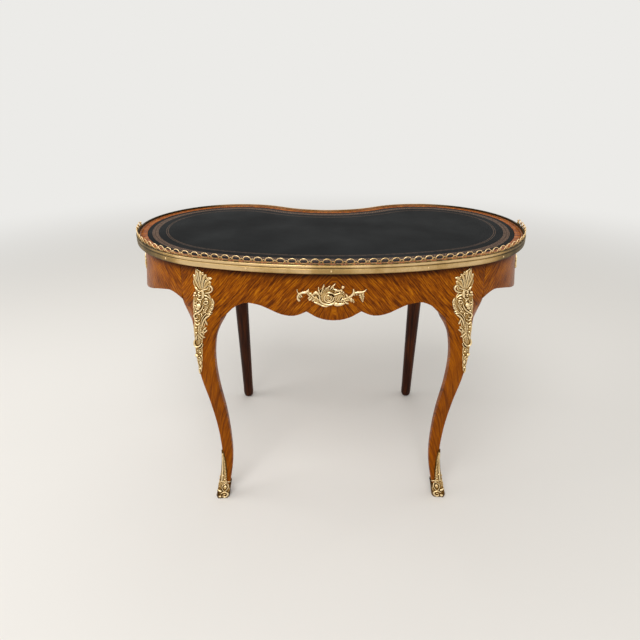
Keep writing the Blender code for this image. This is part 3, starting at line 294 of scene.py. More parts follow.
def leatherMaterial():
    look = leatherLook
    made, shader = startMaterial("tooledHide", IOR=1.5, Specular_IOR_Level=0.03)
    spot = addNode(made, "TexCoord").outputs["Object"]
    parts = addNode(made, "SeparateXYZ", inputs=dict(Vector=addNode(made, "UVMap", dict(uv_map="grain"))))
    run, inset = parts.outputs["X"], parts.outputs["Y"]

    def within(low, high, soft=0.5):
        # 1 where the distance from the leather's edge lies between low and high millimetres
        middle = (look["margin"] + (low + high) / 2) * mm
        away = addNode(made, "Math", dict(operation="SUBTRACT"), {0: inset, 1: middle})
        size = addNode(made, "Math", dict(operation="ABSOLUTE"), {0: away})
        half = (high - low) / 2
        return addNode(made, "MapRange", inputs={
            "Value": size, "From Min": (half + soft / 2) * mm, "From Max": (half - soft / 2) * mm})

    # Lace band: two waves that cross each other, with a line along each side
    middle = (look["laceFrom"] + look["laceTo"]) / 2
    reach = (look["laceTo"] - look["laceFrom"]) / 2
    phase = addNode(made, "Math", dict(operation="MULTIPLY"), {0: run, 1: 2 * pi / (look["motif"] * mm)})
    wave = addNode(made, "Math", dict(operation="SINE"), {0: phase})
    across = addNode(made, "MapRange", dict(clamp=False), {
        "Value": inset, "From Min": (look["margin"] + middle - reach) * mm,
        "From Max": (look["margin"] + middle + reach) * mm, "To Min": -1.0, "To Max": 1.0})
    gold = within(look["laceFrom"], look["laceFrom"] + look["sideLine"])
    lines = [within(look["laceTo"] - look["sideLine"], look["laceTo"]),
             within(look["lineOne"], look["lineOne"] + look["lineWidth"], 0.8),
             within(look["lineTwo"], look["lineTwo"] + look["lineWidth"], 0.8)]
    band = within(look["laceFrom"], look["laceTo"])
    for swing in (-look["swing"], look["swing"]):
        off = addNode(made, "Math", dict(operation="MULTIPLY_ADD"), {0: wave, 1: swing, 2: across})
        size = addNode(made, "Math", dict(operation="ABSOLUTE"), {0: off})
        braid = addNode(made, "MapRange", inputs={
            "Value": size, "From Min": look["braidFade"], "From Max": look["braidFull"]})
        lines.append(addNode(made, "Math", dict(operation="MULTIPLY"), {0: braid, 1: band}))
    for line in lines:
        gold = addNode(made, "Math", dict(operation="MAXIMUM"), {0: gold, 1: line})
    wear = addNode(made, "TexNoise", inputs=dict(Vector=spot, Scale=perMm(look["wear"]), Detail=3.0))
    rubbed = addNode(made, "MapRange", inputs={
        "Value": wear, "From Min": 0.35, "From Max": 0.62, "To Min": 0.35, "To Max": 0.9})
    gold = addNode(made, "Math", dict(operation="MULTIPLY"), {0: gold, 1: rubbed})
    cloud = addNode(made, "TexNoise", inputs=dict(Vector=spot, Scale=perMm(look["cloud"]), Detail=3.0))
    hide = addNode(made, "ValToRGB", inputs=dict(Fac=cloud), stops=((0.3, "#101112"), (0.7, "#17191a")))
    tinted = addNode(made, "Mix", dict(data_type="RGBA"), {0: band, 6: hide, 7: hexColour("#30241e")})
    colour = addNode(made, "Mix", dict(data_type="RGBA"), {0: gold, 6: tinted, 7: hexColour("#7f6654")})
    pebble = addNode(made, "TexVoronoi", inputs=dict(Vector=spot, Scale=perMm(look["grain"])))
    pressed = addNode(made, "Math", dict(operation="MULTIPLY_ADD"), {0: gold, 1: -1.6, 2: pebble})
    relief = addNode(made, "Bump", inputs=dict(Strength=0.25, Distance=0.15 * mm, Height=pressed))
    sheen = addNode(made, "MapRange", inputs={
        "Value": cloud, "From Min": 0.3, "From Max": 0.7, "To Min": 0.62, "To Max": 0.52})
    gilding = addNode(made, "Math", dict(operation="MULTIPLY"), {0: gold, 1: 0.5})
    wire(made, shader, Base_Color=colour, Roughness=sheen, Metallic=gilding, Normal=relief)
    return made


tooledHide = leatherMaterial()
print("materials made")


# Plan of the kidney, from the edge's box: a front arc, a round end, a lobe and half of the hollow.
# Shares are of the depth that is left; waist is how deep the hollow is, in metres.

plan = dict(lobeShare=0.4138, endShare=0.9007, waist=0.087)


def kidneyArcs():
    low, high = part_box("edge_moulding")
    half, front, back = high.x, low.y, high.y
    lobeRadius = (back - front) * plan["lobeShare"]
    endRadius = (back - front - lobeRadius) * plan["endShare"]
    axisY = back - lobeRadius
    sideX, lobeX = half - endRadius, half - lobeRadius
    rise = axisY - front
    frontRadius = (sideX ** 2 + rise ** 2 - endRadius ** 2) / (2 * (rise - endRadius))
    dip = back - plan["waist"] - axisY
    hollowRadius = (lobeX ** 2 + dip ** 2 - lobeRadius ** 2) / (2 * (lobeRadius - dip))
    frontTurn = atan2(axisY - front - frontRadius, sideX)
    lobeTurn = atan2(dip + hollowRadius, -lobeX)
    return [(Vector((0, front + frontRadius)), frontRadius, -pi / 2, frontTurn, 1),
            (Vector((sideX, axisY)), endRadius, frontTurn, 0.0, 1),
            (Vector((lobeX, axisY)), lobeRadius, 0.0, lobeTurn, 1),
            (Vector((0, axisY + dip + hollowRadius)), hollowRadius, lobeTurn - pi, -pi / 2, -1)]


arcs = kidneyArcs()


def arcLengths(inset):
    return [abs(end - start) * (radius - bulge * inset) for _, radius, start, end, bulge in arcs]


def rimAt(distance, inset):
    # Point and outward normal at a distance along the inset line from the middle of the front
    left = abs(distance)
    for (centre, radius, start, end, bulge), length in zip(arcs, arcLengths(inset)):
        if left <= length or bulge < 0:
            break
        left -= length
    angle = start + (end - start) * left / length
    normal = bulge * Vector((cos(angle), sin(angle)))
    spot = centre + (radius - bulge * inset) * Vector((cos(angle), sin(angle)))
    if distance < 0:
        spot.x, normal.x = -spot.x, -normal.x
    return spot, normal


def rimCoordinates(x, y):
    # Distance along the outline from the middle of the front, and inset from it, of plan points:
    # each point goes with the nearest of the arcs that it lies beside
    x = np.abs(x)
    run, inset = np.zeros_like(x), np.full_like(x, 9.0)
    passed, slack = 0.0, 0.02
    for (centre, radius, start, end, bulge), length in zip(arcs, arcLengths(0.0)):
        angle = np.arctan2(y - centre.y, x - centre.x)
        share = (angle - start) / (end - start)
        depth = bulge * (radius - np.hypot(x - centre.x, y - centre.y))
        here = (share > -slack) & (share < 1 + slack) & (np.abs(depth) < np.abs(inset))
        run[here] = passed + length * share[here]
        inset[here] = depth[here]
        passed += length
    return run, inset


# Small helpers for pieces

doubles = 0.02 * mm


def leaveEdit():
    bpy.ops.object.mode_set(mode="OBJECT")


def deselectAll():
    if bpy.context.object and bpy.context.object.mode != "OBJECT":
        leaveEdit()
    bpy.ops.object.select_all(action="DESELECT")


def makeActive(piece):
    deselectAll()
    bpy.context.view_layer.objects.active = piece
    piece.select_set(True)


def editPiece(piece, action="SELECT", kind="VERT"):
    # Opens the piece in edit mode with all of it selected, or none
    makeActive(piece)
    bpy.ops.object.mode_set(mode="EDIT")
    bpy.ops.mesh.select_mode(type=kind)
    bpy.ops.mesh.select_all(action=action)


def editChosen(piece, kind, chosen):
    # Opens the piece in edit mode with just these of its faces or edges selected
    editPiece(piece, "DESELECT", kind)
    leaveEdit()
    parts = piece.data.polygons if kind == "FACE" else piece.data.edges
    parts.foreach_set("select", chosen)
    bpy.ops.object.mode_set(mode="EDIT")


def vertexPlaces(piece):
    places = np.empty(len(piece.data.vertices) * 3, np.float32)
    piece.data.vertices.foreach_get("co", places)
    return places.reshape(-1, 3)


def setPlaces(piece, places):
    piece.data.vertices.foreach_set("co", np.asarray(places, np.float32).ravel())
    piece.data.update()


def applyModifier(piece, kind, **settings):
    makeActive(piece)
    modifier = piece.modifiers.new(kind.lower(), kind)
    for name, value in settings.items():
        setattr(modifier, name, value)
    bpy.ops.object.modifier_apply(modifier=modifier.name)


def softenEdges(piece, width, sharpness=40):
    # A small round on every edge that is sharper than this many degrees
    applyModifier(piece, "BEVEL", width=width * mm, segments=2, limit_method="ANGLE",
                  angle_limit=radians(sharpness))


def tidyMesh(piece):
    # Merges doubles and turns every face outwards
    editPiece(piece)
    bpy.ops.mesh.remove_doubles(threshold=doubles)
    bpy.ops.mesh.normals_make_consistent(inside=False)
    leaveEdit()


def turnInsideOut(piece):
    editPiece(piece)
    bpy.ops.mesh.flip_normals()
    leaveEdit()


def smoothShade(piece, angle):
    makeActive(piece)
    bpy.ops.object.shade_smooth_by_angle(angle=radians(angle))


def joinPieces(name, pieces):
    makeActive(pieces[0])
    for piece in pieces:
        piece.select_set(True)
    bpy.ops.object.join()
    bpy.ops.object.transform_apply(location=True, rotation=True, scale=True)
    pieces[0].name = name
    return pieces[0]


def copyPiece(piece, name):
    copy = piece.copy()
    copy.data = piece.data.copy()
    copy.name = name
    bpy.context.scene.collection.objects.link(copy)
    return copy


def copyNode(node, name):
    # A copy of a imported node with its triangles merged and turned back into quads
    piece = copyPiece(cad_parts[node], name)
    for key in list(piece.keys()):
        del piece[key]
    piece.parent = None
    editPiece(piece)
    bpy.ops.mesh.customdata_custom_splitnormals_clear()
    bpy.ops.mesh.remove_doubles(threshold=doubles)
    bpy.ops.mesh.tris_convert_to_quads(face_threshold=radians(60), shape_threshold=radians(150))
    leaveEdit()
    return piece


def finishPiece(piece, material, body, slot, *nodes):
    piece.data.materials.clear()
    piece.data.materials.append(material)
    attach(piece, body)
    if nodes:
        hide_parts(*nodes)
    return piece


def layGrain(piece, runAndRise):
    # Writes the grain map: each corner's place along and across, from a function of its place and normal
    mesh = piece.data
    layer = mesh.uv_layers.new(name="grain")
    places = vertexPlaces(piece)
    corners = np.empty(len(mesh.loops), np.int32)
    mesh.loops.foreach_get("vertex_index", corners)
    normals = np.empty(len(mesh.polygons) * 3, np.float32)
    mesh.polygons.foreach_get("normal", normals)
    counts = np.empty(len(mesh.polygons), np.int32)
    mesh.polygons.foreach_get("loop_total", counts)
    cornerNormals = np.repeat(normals.reshape(-1, 3), counts, axis=0)
    run, rise = runAndRise(places[corners], cornerNormals)
    layer.data.foreach_set("uv", np.stack([run, rise], 1).astype(np.float32).ravel())


def friezeGrain(places, normals):
    run = rimCoordinates(places[:, 0], places[:, 1])[0]
    return run, places[:, 2]


def sideGrain(places, normals):
    # Book-matched at the leg: the grain slopes the other way round the end
    return -rimCoordinates(places[:, 0], places[:, 1])[0], places[:, 2]


def topGrain(places, normals):
    return rimCoordinates(places[:, 0], places[:, 1])


# Levels between which the grain turns lengthwise on a leg, and where it starts to stretch
legTurn = dict(top=0.62, over=0.17, ease=0.35, stretchFrom=0.45, stretch=0.3)


def legGrain(places, normals):
    # As on the aprons beside it at the knee, turning lengthwise further down
    look = legTurn
    run = rimCoordinates(places[:, 0], places[:, 1])[0]
    outside = normals[:, 0] * np.sign(places[:, 0]) > np.abs(normals[:, 1])
    rise = places[:, 2]
    turning = np.clip((look["top"] - rise) / look["over"], 0, 1)
    turned = look["top"] - look["over"] * (turning - look["ease"] * turning ** 2)
    turned -= np.maximum(look["stretchFrom"] - rise, 0) * look["stretch"]
    return np.where(outside, -run, run), np.where(rise > look["top"], rise, turned)


def sweepRound(name, profile, steps, closed=True):
    # Spins a profile of (inset, level) points round the right half of the plan, then mirrors it
    deselectAll()
    bpy.ops.mesh.primitive_circle_add(vertices=len(profile), radius=mm, fill_type="NOTHING")
    piece = bpy.context.object
    piece.name = name
    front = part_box("edge_moulding")[0].y
    for vertex, (inset, level) in zip(piece.data.vertices, profile):
        vertex.co = (0.0, front + inset, level)
    if not closed:
        editChosen(piece, "EDGE", [set(edge.vertices) == {0, len(profile) - 1} for edge in piece.data.edges])
        bpy.ops.mesh.delete(type="EDGE_FACE")
    editPiece(piece)
    for (centre, _, start, end, _), count in zip(arcs, steps):
        bpy.ops.mesh.spin(steps=count, angle=start - end, center=(*centre, 0), axis=(0, 0, 1))
    leaveEdit()
    applyModifier(piece, "MIRROR", use_clip=True, merge_threshold=0.1 * mm)
    tidyMesh(piece)
    return piece


# Top: leather, crossbanding and the dark lipping with its rounded edge.
# Insets are in millimetres from the brass edge's outline; steps are those of each of the plan's arcs.

top = dict(steps=(16, 30, 36, 12), leatherInset=29.2, fieldInset=92.0, leatherCorner=0.3, leatherRows=12,
           bandInset=12.6, bandOutset=28.9, bandCorner=0.25, lippingOut=6.8, lippingIn=12.3, rounding=0.9,
           roundSteps=4)
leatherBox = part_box("leather_inset")
topLevel = leatherBox[1].z
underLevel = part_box("top_board")[0].z
finishLevel = leatherBox[0].z


def makeLeather():
    outline, corner, rows = top["leatherInset"], top["leatherCorner"], top["leatherRows"]
    width = top["fieldInset"] - outline
    profile = [(outline * mm, finishLevel), (outline * mm, topLevel - corner * mm)]
    profile += [((outline + corner + width * row / rows) * mm, topLevel) for row in range(rows + 1)]
    piece = sweepRound("leather_top", profile, top["steps"], closed=False)
    for level in (finishLevel, topLevel):
        # Fills the hole at this level: the underside's outline or the inner edge of the tooled bands
        editPiece(piece, "DESELECT", "EDGE")
        bpy.ops.mesh.select_non_manifold(extend=False)
        leaveEdit()
        for edge in piece.data.edges:
            if abs(piece.data.vertices[edge.vertices[0]].co.z - level) > 0.1 * mm:
                edge.select = False
        bpy.ops.object.mode_set(mode="EDIT")
        bpy.ops.mesh.edge_face_add()
        leaveEdit()
    tidyMesh(piece)
    layGrain(piece, topGrain)
    smoothShade(piece, 30)
    finishPiece(piece, tooledHide, "desk", "tooled_leather", "leather_inset")


def makeBanding():
    out, inwards, corner = top["bandInset"] * mm, top["bandOutset"] * mm, top["bandCorner"] * mm
    profile = [(out, finishLevel), (out, topLevel - corner), (out + corner, topLevel),
               (inwards - corner, topLevel), (inwards, topLevel - corner), (inwards, finishLevel)]
    piece = sweepRound("crossbanding", profile, top["steps"])
    layGrain(piece, topGrain)
    smoothShade(piece, 50)
    finishPiece(piece, kingwoodBand, "desk", "kingwood_veneer", "top_crossbanding")


def makeLipping():
    out, inwards, curve = top["lippingOut"] * mm, top["lippingIn"] * mm, top["rounding"] * mm
    profile = [(inwards, underLevel), (inwards, topLevel - 0.2 * mm), (inwards - 0.3 * mm, topLevel)]
    for step in range(top["roundSteps"] + 1):
        turn = pi / 2 * step / top["roundSteps"]
        profile.append((out + curve * (1 - sin(turn)), topLevel - curve * (1 - cos(turn))))
    profile.append((out, underLevel))
    piece = sweepRound("lipping", profile, top["steps"])
    layGrain(piece, topGrain)
    smoothShade(piece, 50)
    finishPiece(piece, rosewoodLipping, "desk", "dark_lipping", "top_lipping")


makeLeather()
makeBanding()
makeLipping()
print("top made")


# Brass edge: a convex band, a dark groove and a bead that carries the gallery. Sizes in millimetres.
# The brass has dulled where x passes reflectionShadeFrom metres and in the middle, and is wiped clean at the back.
# The brass is drawn darker, a painted reflection, beyond a given distance out from the middle and in the middle
# itself, and lighter at the back, where most of its darkening is taken off.

brassEdge = dict(width=6.5, height=21.0, steps=(26, 40, 44, 14), reflectionShadeFrom=0.345, reflectionShadeOver=0.07, reflectionShade=0.66,
                 middle=0.24, middleReflectionShade=0.14, backClearing=0.8, backClearingDepth=0.1, backClearingWidth=0.44, backClearingOver=0.1,
                 # Share of the width outwards, share of the height upwards, share of dirt
                 section=((0.00, 0.00, 0.5), (0.72, 0.00, 0.6), (0.86, 0.015, 0.5), (0.94, 0.05, 0.25),
                          (0.985, 0.12, 0.08), (1.00, 0.21, 0.0), (1.00, 0.34, 0.0), (0.985, 0.44, 0.0),
                          (0.95, 0.52, 0.05), (0.88, 0.575, 0.25), (0.78, 0.60, 0.5), (0.74, 0.635, 0.6),
                          (0.76, 0.67, 0.5), (0.84, 0.69, 0.3), (0.92, 0.72, 0.10), (0.97, 0.77, -0.08),
                          (0.985, 0.825, -0.12), (0.97, 0.88, -0.12), (0.92, 0.93, -0.05), (0.84, 0.97, 0.20),
                          (0.72, 1.00, 0.5), (0.00, 1.00, 0.7)))
# Head of a pin in millimetres: a painted highlight on its dome, and a dark rim, partly dirt and partly painted
# shadow, from this share of its radius outwards
pinHead = dict(count=7, radius=2.5, depth=0.60, darkeningFrom=0.92, darkening=0.8, paintedHighlight=0.3)


def setDarkness(piece, values):
    layer = piece.data.attributes.new("darkness", "FLOAT", "POINT")
    layer.data.foreach_set("value", np.asarray(values, np.float32))


def evenDarkness(piece, value):
    setDarkness(piece, np.full(len(piece.data.vertices), value))


def makeEdge():
    look = brassEdge
    profile = [(look["width"] * mm * (1 - out), underLevel + look["height"] * mm * up)
               for out, up, _ in look["section"]]
    piece = sweepRound("brass_edge", profile, look["steps"])
    places = vertexPlaces(piece)
    inset = rimCoordinates(places[:, 0], places[:, 1])[1]
    table = np.array(profile)
    darkening = np.array([share for _, _, share in look["section"]])
    apart = np.hypot(inset[:, None] - table[None, :, 0], places[:, 2][:, None] - table[None, :, 1])
    # Painted reflection: darker towards both ends and in the middle, and lighter at the back
    aside = np.abs(places[:, 0])
    reflectionShade = np.clip((aside - look["reflectionShadeFrom"]) / look["reflectionShadeOver"], 0, 1) * look["reflectionShade"]
    reflectionShade += np.clip(1 - aside / look["middle"], 0, 1) ** 0.5 * look["middleReflectionShade"]
    behind = np.clip(places[:, 1] / look["backClearingDepth"], 0, 1)
    backClearing = 1 - look["backClearing"] * behind * np.clip((look["backClearingWidth"] - aside) / look["backClearingOver"], 0, 1)
    setDarkness(piece, (darkening[apart.argmin(1)] + reflectionShade) * backClearing)
    smoothShade(piece, 60)
    finishPiece(piece, polishedBrass, "desk", "polished_brass", "edge_moulding")


def makePins():
    look = pinHead
    for number in range(1, look["count"] + 1):
        node = f"edge_pin_{number}"
        low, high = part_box(node)
        # The head is the part that stands out of the edge
        places = vertexPlaces(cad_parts[node])
        run, inset = rimCoordinates(places[:, 0], places[:, 1])
        side = 1 if places[inset < 0].mean(0)[0] >= 0 else -1
        spot, normal = rimAt(float(np.median(run[inset < 0])) * side, 0.0)
        middle = (*spot, (low.z + high.z) / 2)
        deselectAll()
        bpy.ops.mesh.primitive_uv_sphere_add(segments=16, ring_count=10, radius=look["radius"] * mm,
                                             location=middle)
        piece = bpy.context.object
        piece.name = f"pin_head_{number}"
        editPiece(piece)
        bpy.ops.transform.resize(value=(1, look["depth"], 1))
        leaveEdit()
        piece.rotation_euler.z = atan2(normal.y, normal.x) + pi / 2
        bpy.ops.object.transform_apply(location=True, rotation=True, scale=True)
        # A dark rim, partly dirt and partly painted shadow, and a painted highlight on the dome
        rim = np.linalg.norm(vertexPlaces(piece) - np.array(middle), axis=1) / (look["radius"] * mm)
        outer = np.clip((rim - look["darkeningFrom"]) / (1 - look["darkeningFrom"]), 0, 1)
        setDarkness(piece, outer * look["darkening"] - look["paintedHighlight"])
        smoothShade(piece, 60)
        finishPiece(piece, polishedBrass, "desk", "polished_brass", node)


makeEdge()
makePins()
print("brass edge made")


# Gallery: cast oval rings, each on a foot, with a small eye between neighbours. Sizes in millimetres.
# Each end is closed by a finial: a ball on a turned stem, so far beyond the last ring

gallery = dict(inset=3.3, endShare=0.96, shift=8.4, sections=5, pitch=25.5, ringWidth=19.4, ringHeight=14.3,
               ringRise=7.75, bar=1.9, thickness=2.3, footWidth=12.0, footHeight=3.4, footTaper=0.62,
               footRound=0.5, eyeOverlap=1.6, eyeHeight=6.8, eyeRise=6.4, eyeThin=0.85, darkening=0.8, darkeningRise=8,
               finialRadius=2.3, finialRise=9.2, stemFoot=3.2, stemNeck=1.2, stemHeight=7.6, finialsBeyond=(2.5, 1.0))


def makeGalleryUnit(pitch):
    look = gallery
    bar, start = look["bar"] / 2, 10

    def oval(width, height, segments, sides, x, level):
        # A torus pulled out to an oval of this size, its bar kept round and then thickened
        bpy.ops.mesh.primitive_torus_add(major_segments=segments, minor_segments=sides, major_radius=start * mm,
                                         minor_radius=bar * mm, location=(x, 0, level * mm),
                                         rotation=(pi / 2, 0, 0))
        made = bpy.context.object
        bpy.ops.object.transform_apply(location=False, rotation=True, scale=False)
        places = vertexPlaces(made) / mm
        out = np.hypot(places[:, 0], places[:, 2])
        unit = places[:, [0, 2]] / out[:, None]
        rise = out - start
        places[:, 0] = unit[:, 0] * (width / 2 - bar + rise)
        places[:, 2] = unit[:, 1] * (height / 2 - bar + rise)
        places[:, 1] *= look["thickness"] / look["bar"]
        setPlaces(made, places * mm)
        return made

    deselectAll()
    ring = oval(look["ringWidth"], look["ringHeight"], 28, 8, 0.0, look["ringRise"])
    eyeWidth = pitch / mm - look["ringWidth"] + look["eyeOverlap"]
    eye = oval(eyeWidth, look["eyeHeight"], 12, 6, pitch / 2, look["eyeRise"])
    setPlaces(eye, vertexPlaces(eye) * (1, look["eyeThin"], 1))
    bpy.ops.mesh.primitive_cube_add(size=1, location=(0, 0, look["footHeight"] / 2 * mm))
    foot = bpy.context.object
    foot.scale = (look["footWidth"] * mm, look["thickness"] * mm, look["footHeight"] * mm)
    bpy.ops.object.transform_apply(location=False, rotation=False, scale=True)
    editChosen(foot, "FACE", [face.normal.z > 0.5 for face in foot.data.polygons])
    bpy.ops.transform.resize(value=(look["footTaper"], 1, 1))
    bpy.ops.mesh.select_all(action="SELECT")
    bpy.ops.mesh.bevel(offset=look["footRound"] * mm, segments=2)
    leaveEdit()
    unit = joinPieces("gallery_unit", [ring, eye, foot])
    tidyMesh(unit)
    return unit


def makeFinial(distance, base):
    look = gallery
    spot = rimAt(distance, look["inset"] * mm)[0]
    deselectAll()
    bpy.ops.mesh.primitive_uv_sphere_add(segments=14, ring_count=10, radius=look["finialRadius"] * mm,
                                         location=(*spot, base + look["finialRise"] * mm))
    ball = bpy.context.object
    bpy.ops.mesh.primitive_cone_add(vertices=14, radius1=look["stemFoot"] * mm, radius2=look["stemNeck"] * mm,
                                    depth=look["stemHeight"] * mm,
                                    location=(*spot, base + look["stemHeight"] / 2 * mm))
    return [ball, bpy.context.object]


def makeGallery():
    look = gallery
    lengths = arcLengths(look["inset"] * mm)
    half = lengths[0] + lengths[1] * look["endShare"]
    total = 2 * half
    perSection = round(total / (look["sections"] * look["pitch"] * mm))
    pitch = total / (look["sections"] * perSection)
    first = -half + look["shift"] * mm
    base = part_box("gallery_section_1")[0].z
    unit = makeGalleryUnit(pitch)
    before, after = look["finialsBeyond"]
    for section in range(look["sections"]):
        copies = []
        for index in range(perSection):
            spot, normal = rimAt(first + (section * perSection + index + 0.5) * pitch, look["inset"] * mm)
            copy = copyPiece(unit, "gallery_ring")
            copy.location = (*spot, base)
            copy.rotation_euler.z = atan2(normal.y, normal.x) + pi / 2
            copies.append(copy)
        if section == 0:
            copies += makeFinial(first - before * mm, base)
        elif section == look["sections"] - 1:
            copies += makeFinial(first + total + after * mm, base)
        piece = joinPieces(f"gallery_{section + 1}", copies)
        # The rings are drawn darker towards their feet
        rise = vertexPlaces(piece)[:, 2] - base
        setDarkness(piece, np.clip(1 - rise / (look["darkeningRise"] * mm), 0, 1) * look["darkening"])
        smoothShade(piece, 50)
        finishPiece(piece, polishedBrass, "desk", "polished_brass", f"gallery_section_{section + 1}")
    bpy.data.objects.remove(unit)


makeGallery()
print("gallery made")


# Frieze: veneered aprons and rail with softened edges. The side aprons ease down into the legs, in millimetres

frieze = dict(softEdge=0.7, bracketReach=42.0, bracketDrop=8.0, bracketBelow=60.0,
              pieces=dict(front_apron=("frieze_front", kingwoodFrieze),
                          side_apron_left=("frieze_left", kingwoodFrieze),
                          side_apron_right=("frieze_right", kingwoodFrieze),
                          rear_apron_left=("frieze_rear_left", kingwoodRear),
                          rear_apron_right=("frieze_rear_right", kingwoodRear),
                          lower_rail=("rail_rear", kingwoodRear)))


def easeBracket(piece):
    # Rounds the apron's lower edge down into the leg
    places = vertexPlaces(piece)
    run = rimCoordinates(places[:, 0], places[:, 1])[0]
    low = places[:, 2] < underLevel - frieze["bracketBelow"] * mm
    near = np.clip(1 - (run - run.min()) / (frieze["bracketReach"] * mm), 0, 1)
    places[:, 2] -= low * near ** 2 * frieze["bracketDrop"] * mm
    setPlaces(piece, places)


def makeVeneered(node, name, material, body, grain):
    piece = copyNode(node, name)
    if node.startswith("side_apron"):
        easeBracket(piece)
    editPiece(piece, "DESELECT", "EDGE")
    bpy.ops.mesh.edges_select_sharp(sharpness=radians(40))
    leaveEdit()
    # Edges at the joints stay sharp, so that neighbours meet without a groove
    places = vertexPlaces(piece)
    run = rimCoordinates(places[:, 0], places[:, 1])[0]
    atEnd = (run < run.min() + mm) | (run > run.max() - mm)
    soft = [edge.select and not (atEnd[edge.vertices[0]] and atEnd[edge.vertices[1]])
            for edge in piece.data.edges]
    weights = piece.data.attributes.new("bevel_weight_edge", "FLOAT", "EDGE")
    weights.data.foreach_set("value", np.array(soft, np.float32))
    applyModifier(piece, "BEVEL", width=frieze["softEdge"] * mm, segments=2, limit_method="WEIGHT",
                  use_clamp_overlap=True)
    layGrain(piece, grain)
    smoothShade(piece, 30)
    return finishPiece(piece, material, body, "kingwood_veneer", node)


friezePieces = {node: makeVeneered(node, name, material, "desk", sideGrain if "side" in node else friezeGrain)
                for node, (name, material) in frieze["pieces"].items()}
makeVeneered("drawer_front", "drawer_panel", kingwoodRear, "drawer", friezeGrain)
print("frieze made")


# Legs: cabriole in front with flat veneered faces and a sharp arris, plain and tapered behind

legs = dict(crease=0.96, cornerLean=0.3, swellReach=12, swellAside=0.83, swellBack=0.55, rearRound=0.8,
            # How far the outer corner of the knee swells to run on from the apron: level in metres, millimetres
            swell=((0.436, 0.0), (0.462, 0.7), (0.489, 1.6), (0.516, 2.8), (0.543, 4.0), (0.570, 4.6),
                   (0.597, 4.2), (0.623, 5.4), (0.650, 5.2), (0.677, 0.0)))


def makeFrontLeg(side):
    piece = copyNode(f"front_leg_{side}", f"cabriole_{side}")
    places = vertexPlaces(piece)
    outwards = -1 if side == "left" else 1
    reach = places[:, 0] * outwards + places[:, 1] * legs["cornerLean"]
    levels = np.round(places[:, 2], 4)
    furthest = {level: reach[levels == level].max() for level in np.unique(levels)}
    behind = np.array([furthest[level] for level in levels]) - reach
    share = np.clip(1 - behind / (legs["swellReach"] * mm), 0, 1)
    swell = np.interp(places[:, 2], *zip(*legs["swell"])) * share * mm
    places[:, 0] += outwards * legs["swellAside"] * swell
    places[:, 1] += legs["swellBack"] * swell
    setPlaces(piece, places)
    editPiece(piece, "DESELECT", "EDGE")
    bpy.ops.mesh.edges_select_sharp(sharpness=radians(32))
    bpy.ops.transform.edge_crease(value=legs["crease"])
    leaveEdit()
    applyModifier(piece, "SUBSURF", levels=2, render_levels=2)
    layGrain(piece, legGrain)
    smoothShade(piece, 28)
    return finishPiece(piece, kingwoodFrieze, "desk", "kingwood_veneer", f"front_leg_{side}")


def makeRearLeg(side):
    piece = copyNode(f"rear_leg_{side}", f"turned_leg_{side}")
    softenEdges(piece, legs["rearRound"])
    smoothShade(piece, 18)
    finishPiece(piece, stainedBeech, "desk", "dark_wood", f"rear_leg_{side}")


frontLegs = {side: makeFrontLeg(side) for side in ("left", "right")}
for side in ("left", "right"):
    makeRearLeg(side)
print("legs made")


# Gilt mounts: each is a thin casting over its wood, drawn in strokes of scroll, leaf, flute and bead, in millimetres.
# A stroke is its kind, its height and its points: across, down and half its width. The right-hand knee mount
# and sabot are the left ones mirrored.

mounts = dict(pitch=0.75, sink=0.9, wall=1.0, evenWood=2, evenNormals=8, evenHollows=6,
              # Darkening at a level: millimetres down, share, so that the top of the knee mount and the lower part of
              # the foot leaf are drawn darker; dirt gathers in hollows and is rubbed off high places
              cornerDarkening=((0, 0.56), (52, 0.55), (72, 0.46)), cartoucheDirt=((0, 0.45),),
              sabotDarkening=((80, 0.52), (105, 0.60)), capDirt=0.74, ballDirt=0.1, hollowDirt=1.10, rubbed=0.05,
              # Sizes are left, right, top and bottom of the drawing
              cornerTop=9.0, cornerSize=(-15.0, 47.0, -2.0, 303.0),
              cartoucheShift=-4.0, cartoucheDepth=57.0, cartoucheSize=(-85.0, 81.0, -32.0, 32.0), endShare=0.90,
              wallInset=18.0, sabotTop=150.0, sabotSize=(-26.0, 27.0, 4.0, 149.0), capRound=0.5,
              ballRadius=5.4, ballPlace=(9.2, 6.8, 5.5))
# How a stroke is shaped: the slope of its side, and shares of its height and of its half width
chasing = dict(fall=1.7, margin=2, thinnest=0.3, plateEdge=1.2, hollowFloor=0.3, fluteRim=0.22, fluteFloor=0.60,
               lobe=4.6, lobeWidth=0.9, lobeSwing=0.16, leafDome=0.7, midrib=0.45, midribWidth=0.15,
               vein=2.6, veinDepth=0.12, veinSlant=0.8)

